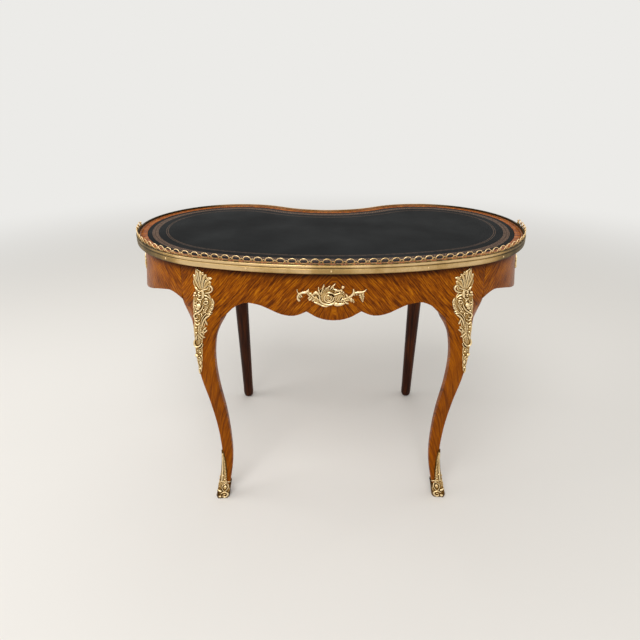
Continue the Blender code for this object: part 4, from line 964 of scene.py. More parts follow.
cornerStrokes = (
    ("plate", 2.4, (1.6, 11, 7), (7.4, 24.3, 15), (12.6, 38, 20), (15.2, 48, 17.5), (15, 54, 11)),
    ("plate", 1.6, (7.9, 57, 11.9), (12.9, 69.8, 18.3), (15.5, 84.8, 24.8), (16.1, 100.9, 23.2), (15.1, 115.2, 19.4),
     (13.7, 128.6, 16.2), (12.7, 142.1, 14), (11.4, 158, 12.9)),
    ("rod", 3.2, (10.8, 54.8, 1.7), (2, 44.2, 3.7), (-5, 31.6, 4.7), (-9.8, 22.2, 3.9), (-12.9, 16.5, 1.1)),
    ("rod", 3, (9.3, 55.4, 1.5), (0.8, 49.5, 3), (-6.4, 42.1, 3.7), (-10.1, 34.8, 2.8), (-11.1, 30.6, 1)),
    ("rod", 3.6, (14.8, 54.8, 1.7), (19.5, 44.2, 4.3), (24.6, 35.8, 5), (29, 32.7, 3.8), (32, 32.6, 2)),
    ("rod", 4, (14.8, 54.8, 1.5), (16.8, 40, 3.9), (22.2, 28.5, 5), (28.6, 23, 4.4), (33.2, 22.4, 2.4)),
    ("rod", 4.2, (11.3, 54.8, 1.5), (5.7, 38.9, 3.7), (0.4, 24.3, 5), (-2.7, 10.9, 5.4), (-5.1, 1.5, 1.7)),
    ("rod", 4.4, (12.8, 54.8, 1.5), (10.8, 40, 3.5), (8.5, 25.4, 4.3), (6.6, 14, 4.7), (3.9, 5.8, 1.9)),
    ("rod", 4.2, (13.8, 54.8, 1.3), (13.8, 40, 2.8), (14.4, 26.4, 4.2), (16.6, 18.4, 4.2), (19.6, 14.8, 2.2)),
    ("rod", 3.8, (6.4, 22, 2.2), (8.4, 14.4, 3.6), (11.6, 9.4, 2.2)),
    ("rod", 4.9, (-5.6, 1.9, 1), (-0.7, 2.9, 1.6), (4.4, 5.8, 0.9)),
    ("rod", 5, (10.3, 13.1, 0.9), (13.2, 14, 1.6), (15.6, 15, 0.8)),
    ("rod", 5, (-5.6, 46.8, 1.1), (-0.5, 51.6, 1.6), (4.3, 55.4, 1.1)),
    ("hollow", 2.2, (11.8, 48.4, 0.6), (8.5, 34.8, 1), (4.2, 21.2, 1), (1.7, 10.9, 0.6)),
    ("hollow", 2.2, (14.5, 48.4, 0.6), (16.5, 34.8, 1.1), (18.6, 26.4, 1.2), (24.1, 25.9, 0.8)),
    ("hollow", 2, (7.3, 48.4, 0.5), (0.4, 34.8, 1.1), (-2.8, 28.5, 1.1), (-5, 21.2, 0.6)),
    ("hollow", 2.2, (17.1, 51.6, 0.8), (22.2, 46.3, 1.2), (26.9, 42.1, 1)),
    ("hollow", 1.6, (11.4, 33.7, 0.5), (10.9, 23.3, 0.9), (10.2, 15, 0.5)),
    ("hollow", 1.4, (2.9, 33.7, 0.5), (-0.3, 21.2, 0.9), (-2.2, 10.9, 0.6)),
    ("rod", 4.4, (2.9, 63.4, 1.3), (8.1, 67.1, 2.2), (13.5, 65, 1.1)),
    ("bead", 4.2, (7.1, 70.9, 2.4)),
    ("bead", 4.6, (-1.4, 87.5, 2.8)),
    ("rod", 4.6, (-2.9, 91.7, 1.3), (1.1, 95.5, 2.2), (0.9, 102, 1.7)),
    ("bead", 5, (2.6, 109.2, 3)),
    ("rod", 4.4, (3.2, 82.6, 0.9), (2.2, 87.5, 1.7), (4.6, 91.2, 1.1)),
    ("rod", 5.6, (28.8, 40, 1.3), (35, 42.1, 2.2), (38.5, 47.4, 2.6), (36.8, 53.8, 2.6), (31.1, 57.8, 2.4),
     (23.6, 59.1, 2.2)),
    ("rod", 4.8, (11.7, 54, 1.7), (19.5, 51.1, 2.2), (26.9, 48.4, 1.5)),
    ("rod", 5.2, (-4.2, 45.8, 1.5), (-0.1, 50, 2.6), (4.2, 54.8, 1.7)),
    ("rod", 4.8, (4.7, 54.8, 1.5), (9.8, 55.7, 2.2), (15.9, 57, 1.7)),
    ("bead", 5.2, (6.1, 59.7, 3.7)),
    ("bead", 5.6, (-3.6, 62.3, 3.7)),
    ("bead", 5.2, (-5.2, 68.5, 3.2)),
    ("bead", 4, (0.2, 68.2, 2.6)),
    ("rod", 5.2, (14.9, 57, 3.9), (16.9, 63.4, 4.7), (16, 71.4, 3.7)),
    ("rod", 5.4, (18.5, 65, 1.5), (23.1, 66.1, 3), (28.3, 68.2, 1.9), (34.2, 72.5, 1.3), (36.8, 77.8, 1)),
    ("rod", 4.4, (3.4, 75.4, 1.3), (6.2, 77.8, 2.4), (12.6, 77.3, 2.2), (14.3, 74.1, 1.3)),
    ("rod", 4.6, (20, 75.4, 1.3), (24.3, 74.1, 2.6), (28.7, 75.7, 1.5)),
    ("rod", 4.6, (19.3, 88, 1.3), (22.6, 81.4, 1.9), (29, 80.3, 1.9), (30.4, 85.3, 1.9), (24.9, 88.9, 1.5),
     (21, 85.3, 1.3)),
    ("rod", 4.2, (5.4, 80, 1.1), (11.1, 81.6, 1.9), (12.1, 86.4, 1.7), (7.2, 86.9, 1.3)),
    ("leaf", 4.2, (38.9, 74.1, 1.7), (42.8, 82.6, 4.3), (42.4, 92.3, 4.7), (39.2, 102, 4.5), (33.9, 111.9, 3.7),
     (28.2, 116.3, 1.7)),
    ("rod", 4.6, (40.5, 74.6, 1.1), (44, 79.4, 1.9), (45.7, 81.6, 0.9)),
    ("rod", 4.8, (39.9, 88, 1.1), (43.9, 88, 2.2), (46.9, 89.6, 0.9)),
    ("rod", 4.4, (38.9, 97.6, 1.1), (42.5, 98.7, 1.9), (45.6, 99.3, 0.9)),
    ("rod", 4.4, (35.5, 105.3, 1.1), (40.6, 107.5, 1.9), (43.8, 109.2, 0.9)),
    ("rod", 4.8, (29.9, 111.9, 1.3), (36, 113, 2.2), (41.5, 113, 1.1)),
    ("bead", 6.6, (8.6, 93.9, 6.7)),
    ("bead", 6.2, (7, 100.9, 5.4)),
    ("rod", 3.6, (-4.4, 80.5, 1.7), (-4.7, 89.1, 2.6), (-2.5, 99.8, 2.4), (0, 107.5, 1.3)),
    ("rod", 5.2, (19.7, 91.2, 1.3), (18, 99.8, 2.2), (13, 107.5, 2.6), (5.9, 112.5, 2.2), (-0.8, 116.9, 1.3)),
    ("leaf", 4.2, (30.1, 90.1, 1.5), (27, 98.7, 3.9), (22.2, 108.6, 3.2), (18.2, 116.3, 1.3)),
    ("rod", 4.8, (33.2, 91.2, 0.9), (30.1, 99.8, 1.5), (25.6, 107.5, 1.7), (22, 113, 1.1)),
    ("bead", 4.8, (22.3, 103.1, 2.6)),
    ("bead", 4.8, (27, 109.7, 2.4)),
    ("rod", 5, (8.5, 113.9, 1.5), (2.1, 115.8, 2.4), (-0.7, 121.3, 2.4), (2.2, 127.2, 2.2), (7.7, 125.7, 1.5),
     (6.5, 121.9, 1.1)),
    ("bead", 4.6, (11.3, 115.8, 2.8)),
    ("rod", 4.4, (15.9, 113, 1.1), (18.9, 118.5, 2.2), (16.7, 124.1, 1.3)),
    ("rod", 5.8, (37.8, 116.9, 1.5), (34, 119.6, 2.8), (28.3, 125.2, 3), (23.3, 133.6, 2.8), (20.3, 143.2, 2.4),
     (18.7, 151.1, 1.3)),
    ("rod", 4.4, (27.6, 114.7, 1.1), (23.1, 121.3, 1.7), (19.3, 129.7, 1.7), (17.2, 139.8, 1.3), (16.2, 147.7, 0.9)),
    ("rod", 4.8, (27.3, 128.6, 1.3), (29.3, 134.8, 2.4), (32, 141.2, 2.2), (32.8, 143.2, 0.9)),
    ("rod", 4.4, (0.5, 129.7, 1.3), (6.7, 134.4, 2.2), (13.2, 130.6, 1.5)),
    ("rod", 4.4, (1.5, 139.3, 1.3), (7.7, 144.3, 2.2), (14.2, 139.3, 1.5)),
    ("bead", 5.2, (4.4, 152.3, 3)),
    ("bead", 4.2, (26.6, 154.6, 2.6)),
    ("plate", 1.6, (10.8, 142.9, 12.9), (11.5, 157.6, 14.9), (9.7, 176.6, 11.9), (7.4, 194, 10.4), (6.6, 211.7, 9.4),
     (5.2, 232.1, 9), (3.7, 253.1, 6.6), (1.6, 272.5, 5), (-2.2, 291.5, 1.6)),
    ("leaf", 4.2, (11.8, 140.9, 4), (13, 154.4, 5.4), (12.8, 170.3, 4.8), (9.8, 187.5, 4.4), (7.2, 201.7, 2)),
    ("bead", 5.2, (4.8, 152.3, 2.8)),
    ("bead", 4.8, (4.4, 166.6, 2.8)),
    ("rod", 4.6, (18.6, 162.9, 1.2), (24, 156, 2.2), (28.4, 151.5, 1.6), (29.4, 150.2, 0.8)),
    ("rod", 4.8, (19.3, 168.7, 1.2), (25, 164.5, 2.2), (29.9, 159.7, 2), (31.8, 158.7, 0.8)),
    ("rod", 4.4, (16.6, 166.1, 1.2), (20.4, 163.9, 1.8), (23.3, 161.8, 0.8)),
    ("rod", 4.8, (13.3, 167.6, 1.4), (18.1, 174, 2.4), (23.9, 178.6, 1.8), (25.4, 179.9, 0.8)),
    ("rod", 4.4, (9.8, 175, 1.2), (14.1, 179.9, 2), (18.7, 185.9, 1.2)),
    ("rod", 4.8, (6.6, 172.4, 1.2), (4.1, 179.9, 2.4), (2.6, 186.4, 1.6)),
    ("rod", 5.8, (-1.6, 189.7, 1.2), (-1.9, 198.4, 2.2), (0.5, 204.4, 2.4), (6, 205.5, 2.4), (11.4, 201.7, 2.2),
     (16.1, 195.1, 1.2)),
    ("rod", 4.6, (18.3, 198.4, 1), (16.2, 205, 1.6), (11, 210.1, 1.4), (7, 212.3, 1)),
    ("leaf", 4.2, (6.2, 211.7, 2), (5.8, 218.5, 5), (5.5, 225.3, 2.4)),
    ("bead", 5, (9.5, 222.5, 3.4)),
    ("bead", 5.8, (0.1, 232.1, 4.6)),
    ("bead", 4.8, (11.4, 232.1, 2.8)),
    ("rod", 4.6, (1.1, 237.9, 1.2), (6.2, 237.9, 1.8), (7.5, 242, 1.6), (3.4, 245.2, 1.6), (0.6, 242, 1.2)),
    ("rod", 4.8, (6.2, 248.4, 2.2), (6.1, 253.7, 4), (4.7, 259, 2.2)),
    ("rod", 4, (-0.3, 259, 1), (0.8, 263.3, 1.8), (2.8, 265.1, 1.2)),
    ("bead", 4.6, (2.7, 271.3, 3.6)),
    ("rod", 4.2, (-1.1, 275, 1.4), (-1.1, 283.7, 2), (-2.1, 292.1, 0.8)))

# Across and down from the middle of the cartouche
cartoucheStrokes = (
    ("plate", 1.4, (-39.5, 8.6, 7.5), (-28.5, 12, 13.5), (-9.9, 6.3, 22.5), (4.3, 3.9, 19.5), (19.6, 3.9, 10.5)),
    ("rod", 3.4, (-82.4, -12, 1.1), (-80.5, -5.9, 1.5), (-77.2, -1.9, 1.5)),
    ("rod", 4.6, (-77.6, 14.6, 3.3), (-80.8, 10.9, 3), (-80.8, 4.5, 2.7), (-76.9, -1.6, 3), (-70.1, -5.1, 3.6),
     (-63, -6.3, 3.9), (-57.5, -9.4, 3.3), (-55.7, -14, 1.2)),
    ("rod", 3.4, (-75, -0.7, 1.5), (-72.3, 3.4, 2.1), (-70.3, 6.3, 1.2)),
    ("rod", 3.2, (-77.8, 2.8, 1.2), (-75.8, 6.3, 1.8), (-75, 8.6, 0.9)),
    ("leaf", 4.2, (-60.8, -7.6, 2.4), (-53.7, -2.4, 5.1), (-47.7, 3.9, 6), (-41.7, 9.7, 5.4), (-36.2, 13.2, 3)),
    ("rod", 4.4, (-47.7, 6.3, 1.8), (-50.4, 10.3, 2.7), (-53.5, 12.3, 3)),
    ("rod", 4, (-52.6, 3.4, 1.5), (-54.3, 6.8, 2.1), (-56.8, 8.6, 1.5)),
    ("rod", 4.2, (-41.7, 10.3, 1.8), (-44.1, 13.4, 2.4), (-46.9, 14.6, 1.8)),
    ("rod", 4.2, (-49.3, -3, 1.2), (-45.5, 2.2, 2.4), (-43.3, 7.4, 1.5)),
    ("leaf", 4.6, (-43.9, 7.4, 3), (-37.3, 11.5, 6.3), (-29.6, 15.5, 6), (-22, 20.7, 3.9)),
    ("rod", 5, (-42.2, 17.3, 2.1), (-36.2, 19.6, 3.3), (-28.5, 22.7, 3), (-24.2, 24.8, 2.1)),
    ("rod", 5.2, (-28.5, 23.9, 2.1), (-22, 26.2, 3.3), (-14.3, 27.3, 3.3), (-8.3, 25.9, 1.8)),
    ("rod", 4.6, (-43.3, -2.4, 2.7), (-38.9, -5.9, 4.5), (-34, -3.6, 3.6), (-31.3, 0.5, 1.8)),
    ("rod", 3.6, (-32.4, -19.2, 1.2), (-31.8, -13.4, 2.1), (-30.2, -7.6, 2.1), (-29.4, -3, 1.5)),
    ("rod", 4.6, (-19.6, -26.2, 1.2), (-20.9, -21.5, 2.4), (-23.3, -16.3, 2.7), (-25, -8.8, 2.2), (-27.4, -2.4, 1.5)),
    ("bead", 4.4, (-9.9, 5.7, 21)),
    ("flute", 4.5, (-13.2, 3.9, 1.2), (-18.7, 0.5, 2.4), (-24.2, -4.2, 3)),
    ("flute", 4.7, (-12.7, 1.6, 1.2), (-16.5, -5.3, 2.4), (-20.9, -12.9, 3)),
    ("flute", 4.8, (-11, 0.5, 1.2), (-12.7, -7.6, 2.4), (-15.4, -16.9, 2.7)),
    ("flute", 4.8, (-8.9, 0.5, 1.2), (-8.9, -8.8, 2.2), (-9.9, -17.5, 2.4)),
    ("flute", 4.5, (-14.3, 7.4, 1.2), (-19.8, 6.3, 2.4), (-25.8, 3.9, 3)),
    ("flute", 4.6, (-13.8, 12, 1.2), (-18.7, 14.4, 2.2), (-23.6, 14.4, 2.7)),
    ("bead", 3.9, (13.6, 6.3, 14.2)),
    ("rod", 4.6, (10.8, -1.9, 0.9), (8.1, 5.1, 1.9), (5.4, 12, 1.2)),
    ("rod", 4.7, (15.8, -1.3, 0.9), (13, 7.4, 2.1), (8.9, 14.6, 1.2)),
    ("rod", 4.5, (20.1, 1.6, 0.9), (17.6, 9.1, 1.9), (13, 15.5, 1.2)),
    ("rod", 5.6, (-30.7, 0.7, 2.1), (-30.5, 7.4, 3), (-27.4, 14.9, 3.3), (-20.9, 20.7, 3.3), (-11, 23.6, 3.6),
     (-2.3, 22.5, 3.6), (3.7, 18.4, 3), (7, 13.2, 1.5)),
    ("rod", 5.5, (-13.8, -1.6, 1.5), (-18.1, 2.2, 2.2), (-19.2, 8.6, 2.5), (-16, 14.9, 2.7), (-8.9, 17.3, 2.7),
     (-1.7, 14.4, 2.7), (2.1, 8.6, 2.7), (1, 3.4, 2.1)),
    ("rod", 6.1, (-8.9, 8.3, 0.9), (-10.8, 6.3, 1.6), (-12.7, 9.1, 1.9), (-10.5, 13, 2.1), (-5.6, 12, 2.2),
     (-2.8, 7.4, 2.4), (-5, 2.2, 2.4), (-9.9, -0.1, 2.1), (-13.8, 1.6, 1.2)),
    ("bead", 6.3, (-8.9, 8.6, 1.9)),
    ("rod", 6.6, (-13.8, -5.6, 1.8), (-8.9, -7.6, 3.3), (-3.4, -6.3, 3.3), (2.1, -3, 3.3), (7.6, -2.4, 3),
     (13.6, -5.6, 3), (19.6, -5.9, 1.8)),
    ("rod", 5.8, (3.7, -15.5, 2.1), (8.7, -13.2, 3.9), (14.7, -12, 3), (19.6, -12.9, 1.8)),
    ("leaf", 6, (5.4, -7.6, 2.1), (13, -8.8, 4.5), (20.7, -8.8, 5.1), (25.3, -4.2, 2.7), (25.6, -0.7, 1.2)),
    ("bead", 5.6, (24, -20.4, 4.2)),
    ("rod", 4.6, (22.9, -18.6, 1.8), (21.2, -15.2, 1.5)),
    ("rod", 5.2, (5.9, -28.7, 1.2), (2.1, -25, 2.7), (-2.1, -19.8, 2.7), (-4.7, -14.6, 1.5)),
    ("rod", 4.8, (-6.1, -23.3, 1.2), (-9.9, -20.1, 2.2), (-14.3, -16.3, 1.5)),
    ("rod", 4.4, (1, -22.1, 1.2), (2.1, -17.5, 2.1), (-0.1, -12.9, 1.2)),
    ("hollow", 5.6, (-6.9, -2.4, 1.8), (-1.2, -2.1, 2.9), (3, 2.5, 2.2)),
    ("hollow", 4.6, (-25.5, -15.5, 1.2), (-27.2, -11.7, 1.8), (-28.8, -7.6, 1.3)),
    ("hollow", 3.6, (-40.4, 0.7, 1.3), (-35.7, 1.4, 2.2), (-33.4, 5.1, 1.9), (-32.7, 9.7, 1.2)),
    ("hollow", 2.6, (7.6, -8.8, 0.9), (10.8, -7.4, 1.3), (14.1, -7.6, 0.8)),
    ("hollow", 3, (16.9, 13.2, 1.1), (19.6, 9.1, 1.6), (22.3, 5.7, 1.2)),
    ("rod", 6, (5.4, 19, 3), (7.6, 22.2, 5.7), (14.1, 23.4, 5.1), (21.8, 22.5, 4.2), (28.3, 20.7, 2.1)),
    ("rod", 5, (21.2, 17.8, 2.1), (20.5, 13.2, 2.4), (24, 10, 2.7), (27.8, 12.6, 2.7), (26.2, 16.9, 2.1),
     (23.4, 15.5, 1.5)),
    ("leaf", 4.6, (25.1, 15.5, 3), (30.5, 11.5, 6), (37.1, 10.3, 6), (43.7, 12, 4.8), (48.6, 15.5, 3),
     (50.4, 20.1, 1.2)),
    ("rod", 4.4, (28.3, 15.5, 1.8), (32.7, 19.6, 3), (37.1, 21.9, 1.8)),
    ("rod", 4.4, (31.6, -1.9, 1.2), (33.3, 1.6, 2.7), (36, 6.3, 2.4)),
    ("rod", 4.4, (41.5, 9.7, 1.8), (44.2, 13.2, 2.4), (43.7, 17.8, 1.2)),
    ("rod", 4.6, (33.8, 7.4, 2.4), (39.3, 5.1, 3), (44.8, 1, 3.3), (48.6, -4.2, 3.3), (48.9, -9.4, 2.7),
     (48.3, -13.7, 1.2)),
    ("rod", 4.4, (47.5, -3.6, 2.1), (55.7, -6.3, 3), (64.4, -6.5, 3.3), (71, -7.4, 2.7), (75.4, -9.4, 1.8),
     (78.1, -12.5, 1.1)),
    ("rod", 3.4, (50.2, -4.2, 1.2), (51.5, -0.5, 1.8), (51.1, 2.2, 0.9)),
    ("rod", 3.4, (55.1, -4.7, 1.2), (56.4, -1.3, 1.8), (56.1, 1.4, 0.9)),
    ("leaf", 4.4, (65, -5.3, 4.5), (67.7, 0.5, 6.9), (69.4, 7.4, 5.1), (71, 18.4, 1.2)))

# The sabot's leaf, its rim, and a shield over a scroll on each face of the foot
sabotStrokes = (
    ("leaf", 2.8, (0, 6, 1.2), (0.5, 24, 3), (1, 46, 5), (2, 66, 7.5), (3, 84, 10), (3, 100, 12)),
    ("rod", 3.6, (0, 10, 0.8), (0.5, 40, 1.2), (1, 70, 1.6), (1.5, 96, 1.6)),
    ("bead", 4.6, (2.5, 77, 3)),
    ("bead", 4.4, (8.5, 89, 2.6)),
    ("bead", 4.4, (-6, 88, 2.6)),
    ("rod", 3.4, (-24, 101, 1.4), (-12, 98, 1.7), (0, 97, 1.8), (12, 98, 1.7), (25, 101, 1.4)),
    ("plate", 1.4, (-14, 124, 13), (0, 124, 12), (14, 124, 13)),
    ("rod", 3.6, (13, 103, 1.2), (20.5, 108, 1.5), (21.5, 117, 1.5), (13, 127, 1.4), (5, 117, 1.5), (5.5, 108, 1.5),
     (13, 103, 1.2)),
    ("bead", 3.8, (13, 114, 5.6)),
    ("rod", 3.4, (-13, 103, 1.2), (-19.5, 108, 1.5), (-20, 117, 1.5), (-13, 127, 1.4), (-6, 117, 1.5),
     (-5.5, 108, 1.5), (-13, 103, 1.2)),
    ("bead", 3.6, (-13, 114, 5.2)),
    ("bead", 4.6, (1.5, 125, 3.4)),
    ("bead", 3.8, (1.5, 143, 3.8)),
    ("rod", 4.4, (3, 133, 1.4), (10, 129, 2.2), (19, 131, 2.4), (22.5, 138, 2.4), (18, 145, 2.2), (10, 144, 1.8),
     (10, 138, 1.4), (15, 137, 1.2)),
    ("rod", 4.2, (-3, 133, 1.4), (-9, 129, 2.2), (-17, 131, 2.4), (-21, 138, 2.4), (-17, 145, 2.2), (-10, 144, 1.8),
     (-9, 138, 1.4), (-14, 137, 1.2)))


def smoothLine(points):
    # A smooth line through the points, six steps between two of them
    line = np.array(points, float)
    if len(line) == 1:
        return np.vstack([line, line + (0.01, 0.0, 0.0)])
    line = np.vstack([2 * line[0] - line[1], line, 2 * line[-1] - line[-2]])
    made = []
    for a, b, c, d in zip(line, line[1:], line[2:], line[3:]):
        for t in np.arange(6) / 6:
            made.append(b + 0.5 * t * (c - a + t * (2 * a - 5 * b + 4 * c - d + t * (3 * b - a - 3 * c + d))))
    return np.array([*made, line[-2]])


def reliefHeight(across, down, strokes):
    # Height of the casting above the wood, in millimetres: the highest of its strokes at each point
    look = chasing
    height = np.full(across.shape, -mounts["sink"])
    for kind, peak, *points in strokes:
        line = smoothLine(points)
        widest = line[:, 2].max()
        reach = widest + look["margin"]
        near = ((across > line[:, 0].min() - reach) & (across < line[:, 0].max() + reach)
                & (down > line[:, 1].min() - reach) & (down < line[:, 1].max() + reach))
        x, y = across[near][:, None], down[near][:, None]
        start, step = line[:-1], np.diff(line, axis=0)
        size = np.hypot(step[:, 0], step[:, 1])
        t = np.clip(((x - start[:, 0]) * step[:, 0] + (y - start[:, 1]) * step[:, 1]) / size ** 2, 0, 1)
        away = np.hypot(x - start[:, 0] - t * step[:, 0], y - start[:, 1] - t * step[:, 1])
        width = np.maximum(start[:, 2] + t * step[:, 2], look["thinnest"])
        row = np.arange(len(x))
        best = (away / width).argmin(1)
        away, width = away[row, best], width[row, best]
        passed = (np.cumsum(size) - size)[best] + t[row, best] * size[best]
        if kind == "leaf":
            width = width * (look["lobeWidth"] + look["lobeSwing"] * np.sin(passed * 2 * pi / look["lobe"]))
        part = away / width
        dome = np.sqrt(np.clip(1 - part ** 2, 0, 1))
        if kind == "hollow":
            cut = np.maximum(height[near] - peak * dome, look["hollowFloor"])
            height[near] = np.where(part < 1, cut, height[near])
            continue
        shape, taper = dome, np.sqrt(width / widest)
        if kind == "flute":
            floor = look["fluteFloor"]
            shape = np.clip((1 - part) / look["fluteRim"], 0, 1) * (floor + (1 - floor) * part ** 2)
        elif kind == "leaf":
            shape = dome ** look["leafDome"] * (1 - look["midrib"] * np.exp(-(part / look["midribWidth"]) ** 2))
            vein = np.cos((passed - away * look["veinSlant"]) * 2 * pi / look["vein"])
            shape *= 1 - look["veinDepth"] + look["veinDepth"] * vein
        elif kind == "plate":
            shape, taper = np.clip((width - away) / look["plateEdge"], 0, 1), 1.0
        here = np.where(part < 1, peak * shape * taper, (width - away) * look["fall"])
        height[near] = np.maximum(height[near], here)
    return height


def soften(grid, times):
    # Evens out a grid of values with its neighbours
    for _ in range(times):
        wide = np.pad(grid, [(1, 1), (1, 1)] + [(0, 0)] * (grid.ndim - 2), mode="edge")
        grid = (wide[1:-1, 1:-1] * 2 + wide[:-2, 1:-1] + wide[2:, 1:-1] + wide[1:-1, :-2] + wide[1:-1, 2:]) / 6
    return grid


def makeRelief(name, size, strokes, darkeningAt, lay, inwards):
    # A grid laid over the wood, raised by its strokes, cut to their outline and given a thin wall
    look = mounts
    left, right, high, low = size
    inwards = np.array(inwards)
    columns, rows = round((right - left) / look["pitch"]), round((low - high) / look["pitch"])
    deselectAll()
    bpy.ops.mesh.primitive_grid_add(x_subdivisions=columns, y_subdivisions=rows, size=2)
    piece = bpy.context.object
    piece.name = name
    places = vertexPlaces(piece)
    order = np.lexsort((places[:, 0], -np.round(places[:, 1], 5)))
    shape = (rows + 1, columns + 1)
    across = (left + (places[order, 0] + 1) / 2 * (right - left)).reshape(shape).astype(float)
    down = (high + (1 - places[order, 1]) / 2 * (low - high)).reshape(shape).astype(float)
    rise = reliefHeight(across, down, strokes)
    wood = soften(lay(across, down), look["evenWood"])
    normal = np.cross(np.gradient(wood, axis=0), np.gradient(wood, axis=1))
    normal /= np.linalg.norm(normal, axis=2, keepdims=True)
    if (normal @ inwards).mean() > 0:
        normal = -normal
    normal = soften(normal, look["evenNormals"])
    normal /= np.linalg.norm(normal, axis=2, keepdims=True)
    made = np.empty_like(places)
    made[order] = (wood + normal * rise[..., None] * mm).reshape(-1, 3)
    setPlaces(piece, made)
    hollow = soften(rise, look["evenHollows"]) - rise
    level = np.interp(down, *zip(*darkeningAt))
    darkening = np.empty(len(places))
    darkening[order] = np.clip(level + look["hollowDirt"] * hollow - look["rubbed"] * rise, 0, 1).ravel()
    setDarkness(piece, darkening)
    flat = np.empty(len(places), bool)
    flat[order] = (rise < 0.01 - look["sink"]).ravel()
    corners = np.array([face.vertices[:] for face in piece.data.polygons])
    editChosen(piece, "FACE", flat[corners].all(1))
    bpy.ops.mesh.delete(type="FACE")
    leaveEdit()
    if np.array([face.normal[:] for face in piece.data.polygons]).mean(0) @ inwards > 0:
        turnInsideOut(piece)
    applyModifier(piece, "SOLIDIFY", thickness=look["wall"] * mm, offset=-1.0)
    smoothShade(piece, 75)
    return piece


def treeOf(*pieces):
    # A ray tree over the places of several pieces
    places, faces = [], []
    for piece in pieces:
        first = len(places)
        places += [vertex.co.copy() for vertex in piece.data.vertices]
        faces += [[first + index for index in face.vertices] for face in piece.data.polygons]
    return BVHTree.FromPolygons(places, faces)


legPlaces = vertexPlaces(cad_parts["front_leg_left"])
legLevels = np.unique(np.round(legPlaces[:, 2], 4))


def legCorner(x, y):
    # Plan places of the leg's corner that lies furthest in a direction, one for each level
    corners = []
    for level in legLevels:
        ring = legPlaces[np.abs(legPlaces[:, 2] - level) < 0.1 * mm]
        corners.append(ring[(ring[:, 0] * x + ring[:, 1] * y).argmax(), :2])
    return np.array(corners)


arrisLine, sideLine = legCorner(-0.35, -1.0), legCorner(-1.0, legs["cornerLean"])


def alongLeg(line, level):
    return Vector((np.interp(level, legLevels, line[:, 0]), np.interp(level, legLevels, line[:, 1])))


def onLeg(tree, topEdge):
    # Across runs from the arris inwards over the front face, and below zero over the side face
    standOff, reach = 40 * mm, 90 * mm

    def lay(across, down):
        wood = np.empty((*across.shape, 3))
        for index in np.ndindex(across.shape):
            level, run = topEdge - down[index] * mm, across[index] * mm
            arris = alongLeg(arrisLine, level)
            if run >= 0:
                spot, away = arris + Vector((run, 0)), Vector((0, -1))
            else:
                side = (alongLeg(sideLine, level) - arris).normalized()
                spot, away = arris - side * run, Vector((-side.y, side.x))
            hit = tree.ray_cast(Vector((*(spot + away * standOff), level)), Vector((*-away, 0)), reach)[0]
            wood[index] = hit or tree.find_nearest(Vector((*spot, level)))[0]
        return wood
    return lay


def onApron(tree, start, level):
    # Across runs along the apron, and down from the middle of the mount
    standOff, reach = 30 * mm, 60 * mm

    def lay(across, down):
        wood = np.empty((*across.shape, 3))
        for column in range(across.shape[1]):
            spot, normal = rimAt(start + across[0, column] * mm, mounts["wallInset"] * mm)
            for row in range(across.shape[0]):
                place = Vector((*(spot + normal * standOff), level - down[row, column] * mm))
                hit = tree.ray_cast(place, Vector((*-normal, 0)), reach)[0]
                wood[row, column] = hit or (*spot, place.z)
        return wood
    return lay


def finishPair(left, name, node):
    # Finishes a casting of the left side and the same one made for the right
    right = copyPiece(left, name)
    setPlaces(right, vertexPlaces(right) * (-1, 1, 1))
    turnInsideOut(right)
    for side, piece in (("left", left), ("right", right)):
        finishPiece(piece, mercuryGilt, "desk", "gilt_bronze", f"{node}_{side}")


def makeCornerMounts():
    topEdge = underLevel - mounts["cornerTop"] * mm
    left = makeRelief("knee_mount_left", mounts["cornerSize"], cornerStrokes, mounts["cornerDarkening"],
                      onLeg(treeOf(frontLegs["left"]), topEdge), (0.5, 1.0, 0.0))
    finishPair(left, "knee_mount_right", "corner_mount")


def makeCartouches():
    lengths = arcLengths(mounts["wallInset"] * mm)
    end = lengths[0] + lengths[1] * mounts["endShare"]
    level = underLevel - mounts["cartoucheDepth"] * mm
    for name, apron, start, inwards, node in (
            ("shell_front", "front_apron", mounts["cartoucheShift"] * mm, (0, 1, 0), "front_cartouche"),
            ("shell_left", "side_apron_left", -end, (1, 0, 0), "end_cartouche_left"),
            ("shell_right", "side_apron_right", end, (-1, 0, 0), "end_cartouche_right")):
        piece = makeRelief(name, mounts["cartoucheSize"], cartoucheStrokes, mounts["cartoucheDirt"],
                           onApron(treeOf(friezePieces[apron]), start, level), inwards)
        finishPiece(piece, mercuryGilt, "desk", "gilt_bronze", node)


def makeSabots():
    # A cap over the foot, its leaf and a ball at the toe
    cap = copyNode("sabot_left", "foot_mount_left")
    softenEdges(cap, mounts["capRound"])
    evenDarkness(cap, mounts["capDirt"])
    leaf = makeRelief("foot_leaf", mounts["sabotSize"], sabotStrokes, mounts["sabotDarkening"],
                      onLeg(treeOf(cap, frontLegs["left"]), mounts["sabotTop"] * mm), (0.5, 1.0, 0.0))
    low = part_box("sabot_left")[0]
    x, y, z = mounts["ballPlace"]
    deselectAll()
    bpy.ops.mesh.primitive_uv_sphere_add(segments=20, ring_count=12, radius=mounts["ballRadius"] * mm,
                                         location=(low.x + x * mm, low.y + y * mm, z * mm))
    ball = bpy.context.object
    evenDarkness(ball, mounts["ballDirt"])
    left = joinPieces("foot_mount_left", [cap, leaf, ball])
    smoothShade(left, 50)
    finishPair(left, "foot_mount_right", "sabot")


makeCornerMounts()
makeCartouches()
makeSabots()
print("gilt mounts made")


# Drawer box of planed boards, and the knob drawn out from its profile: shares of its length and of its radius

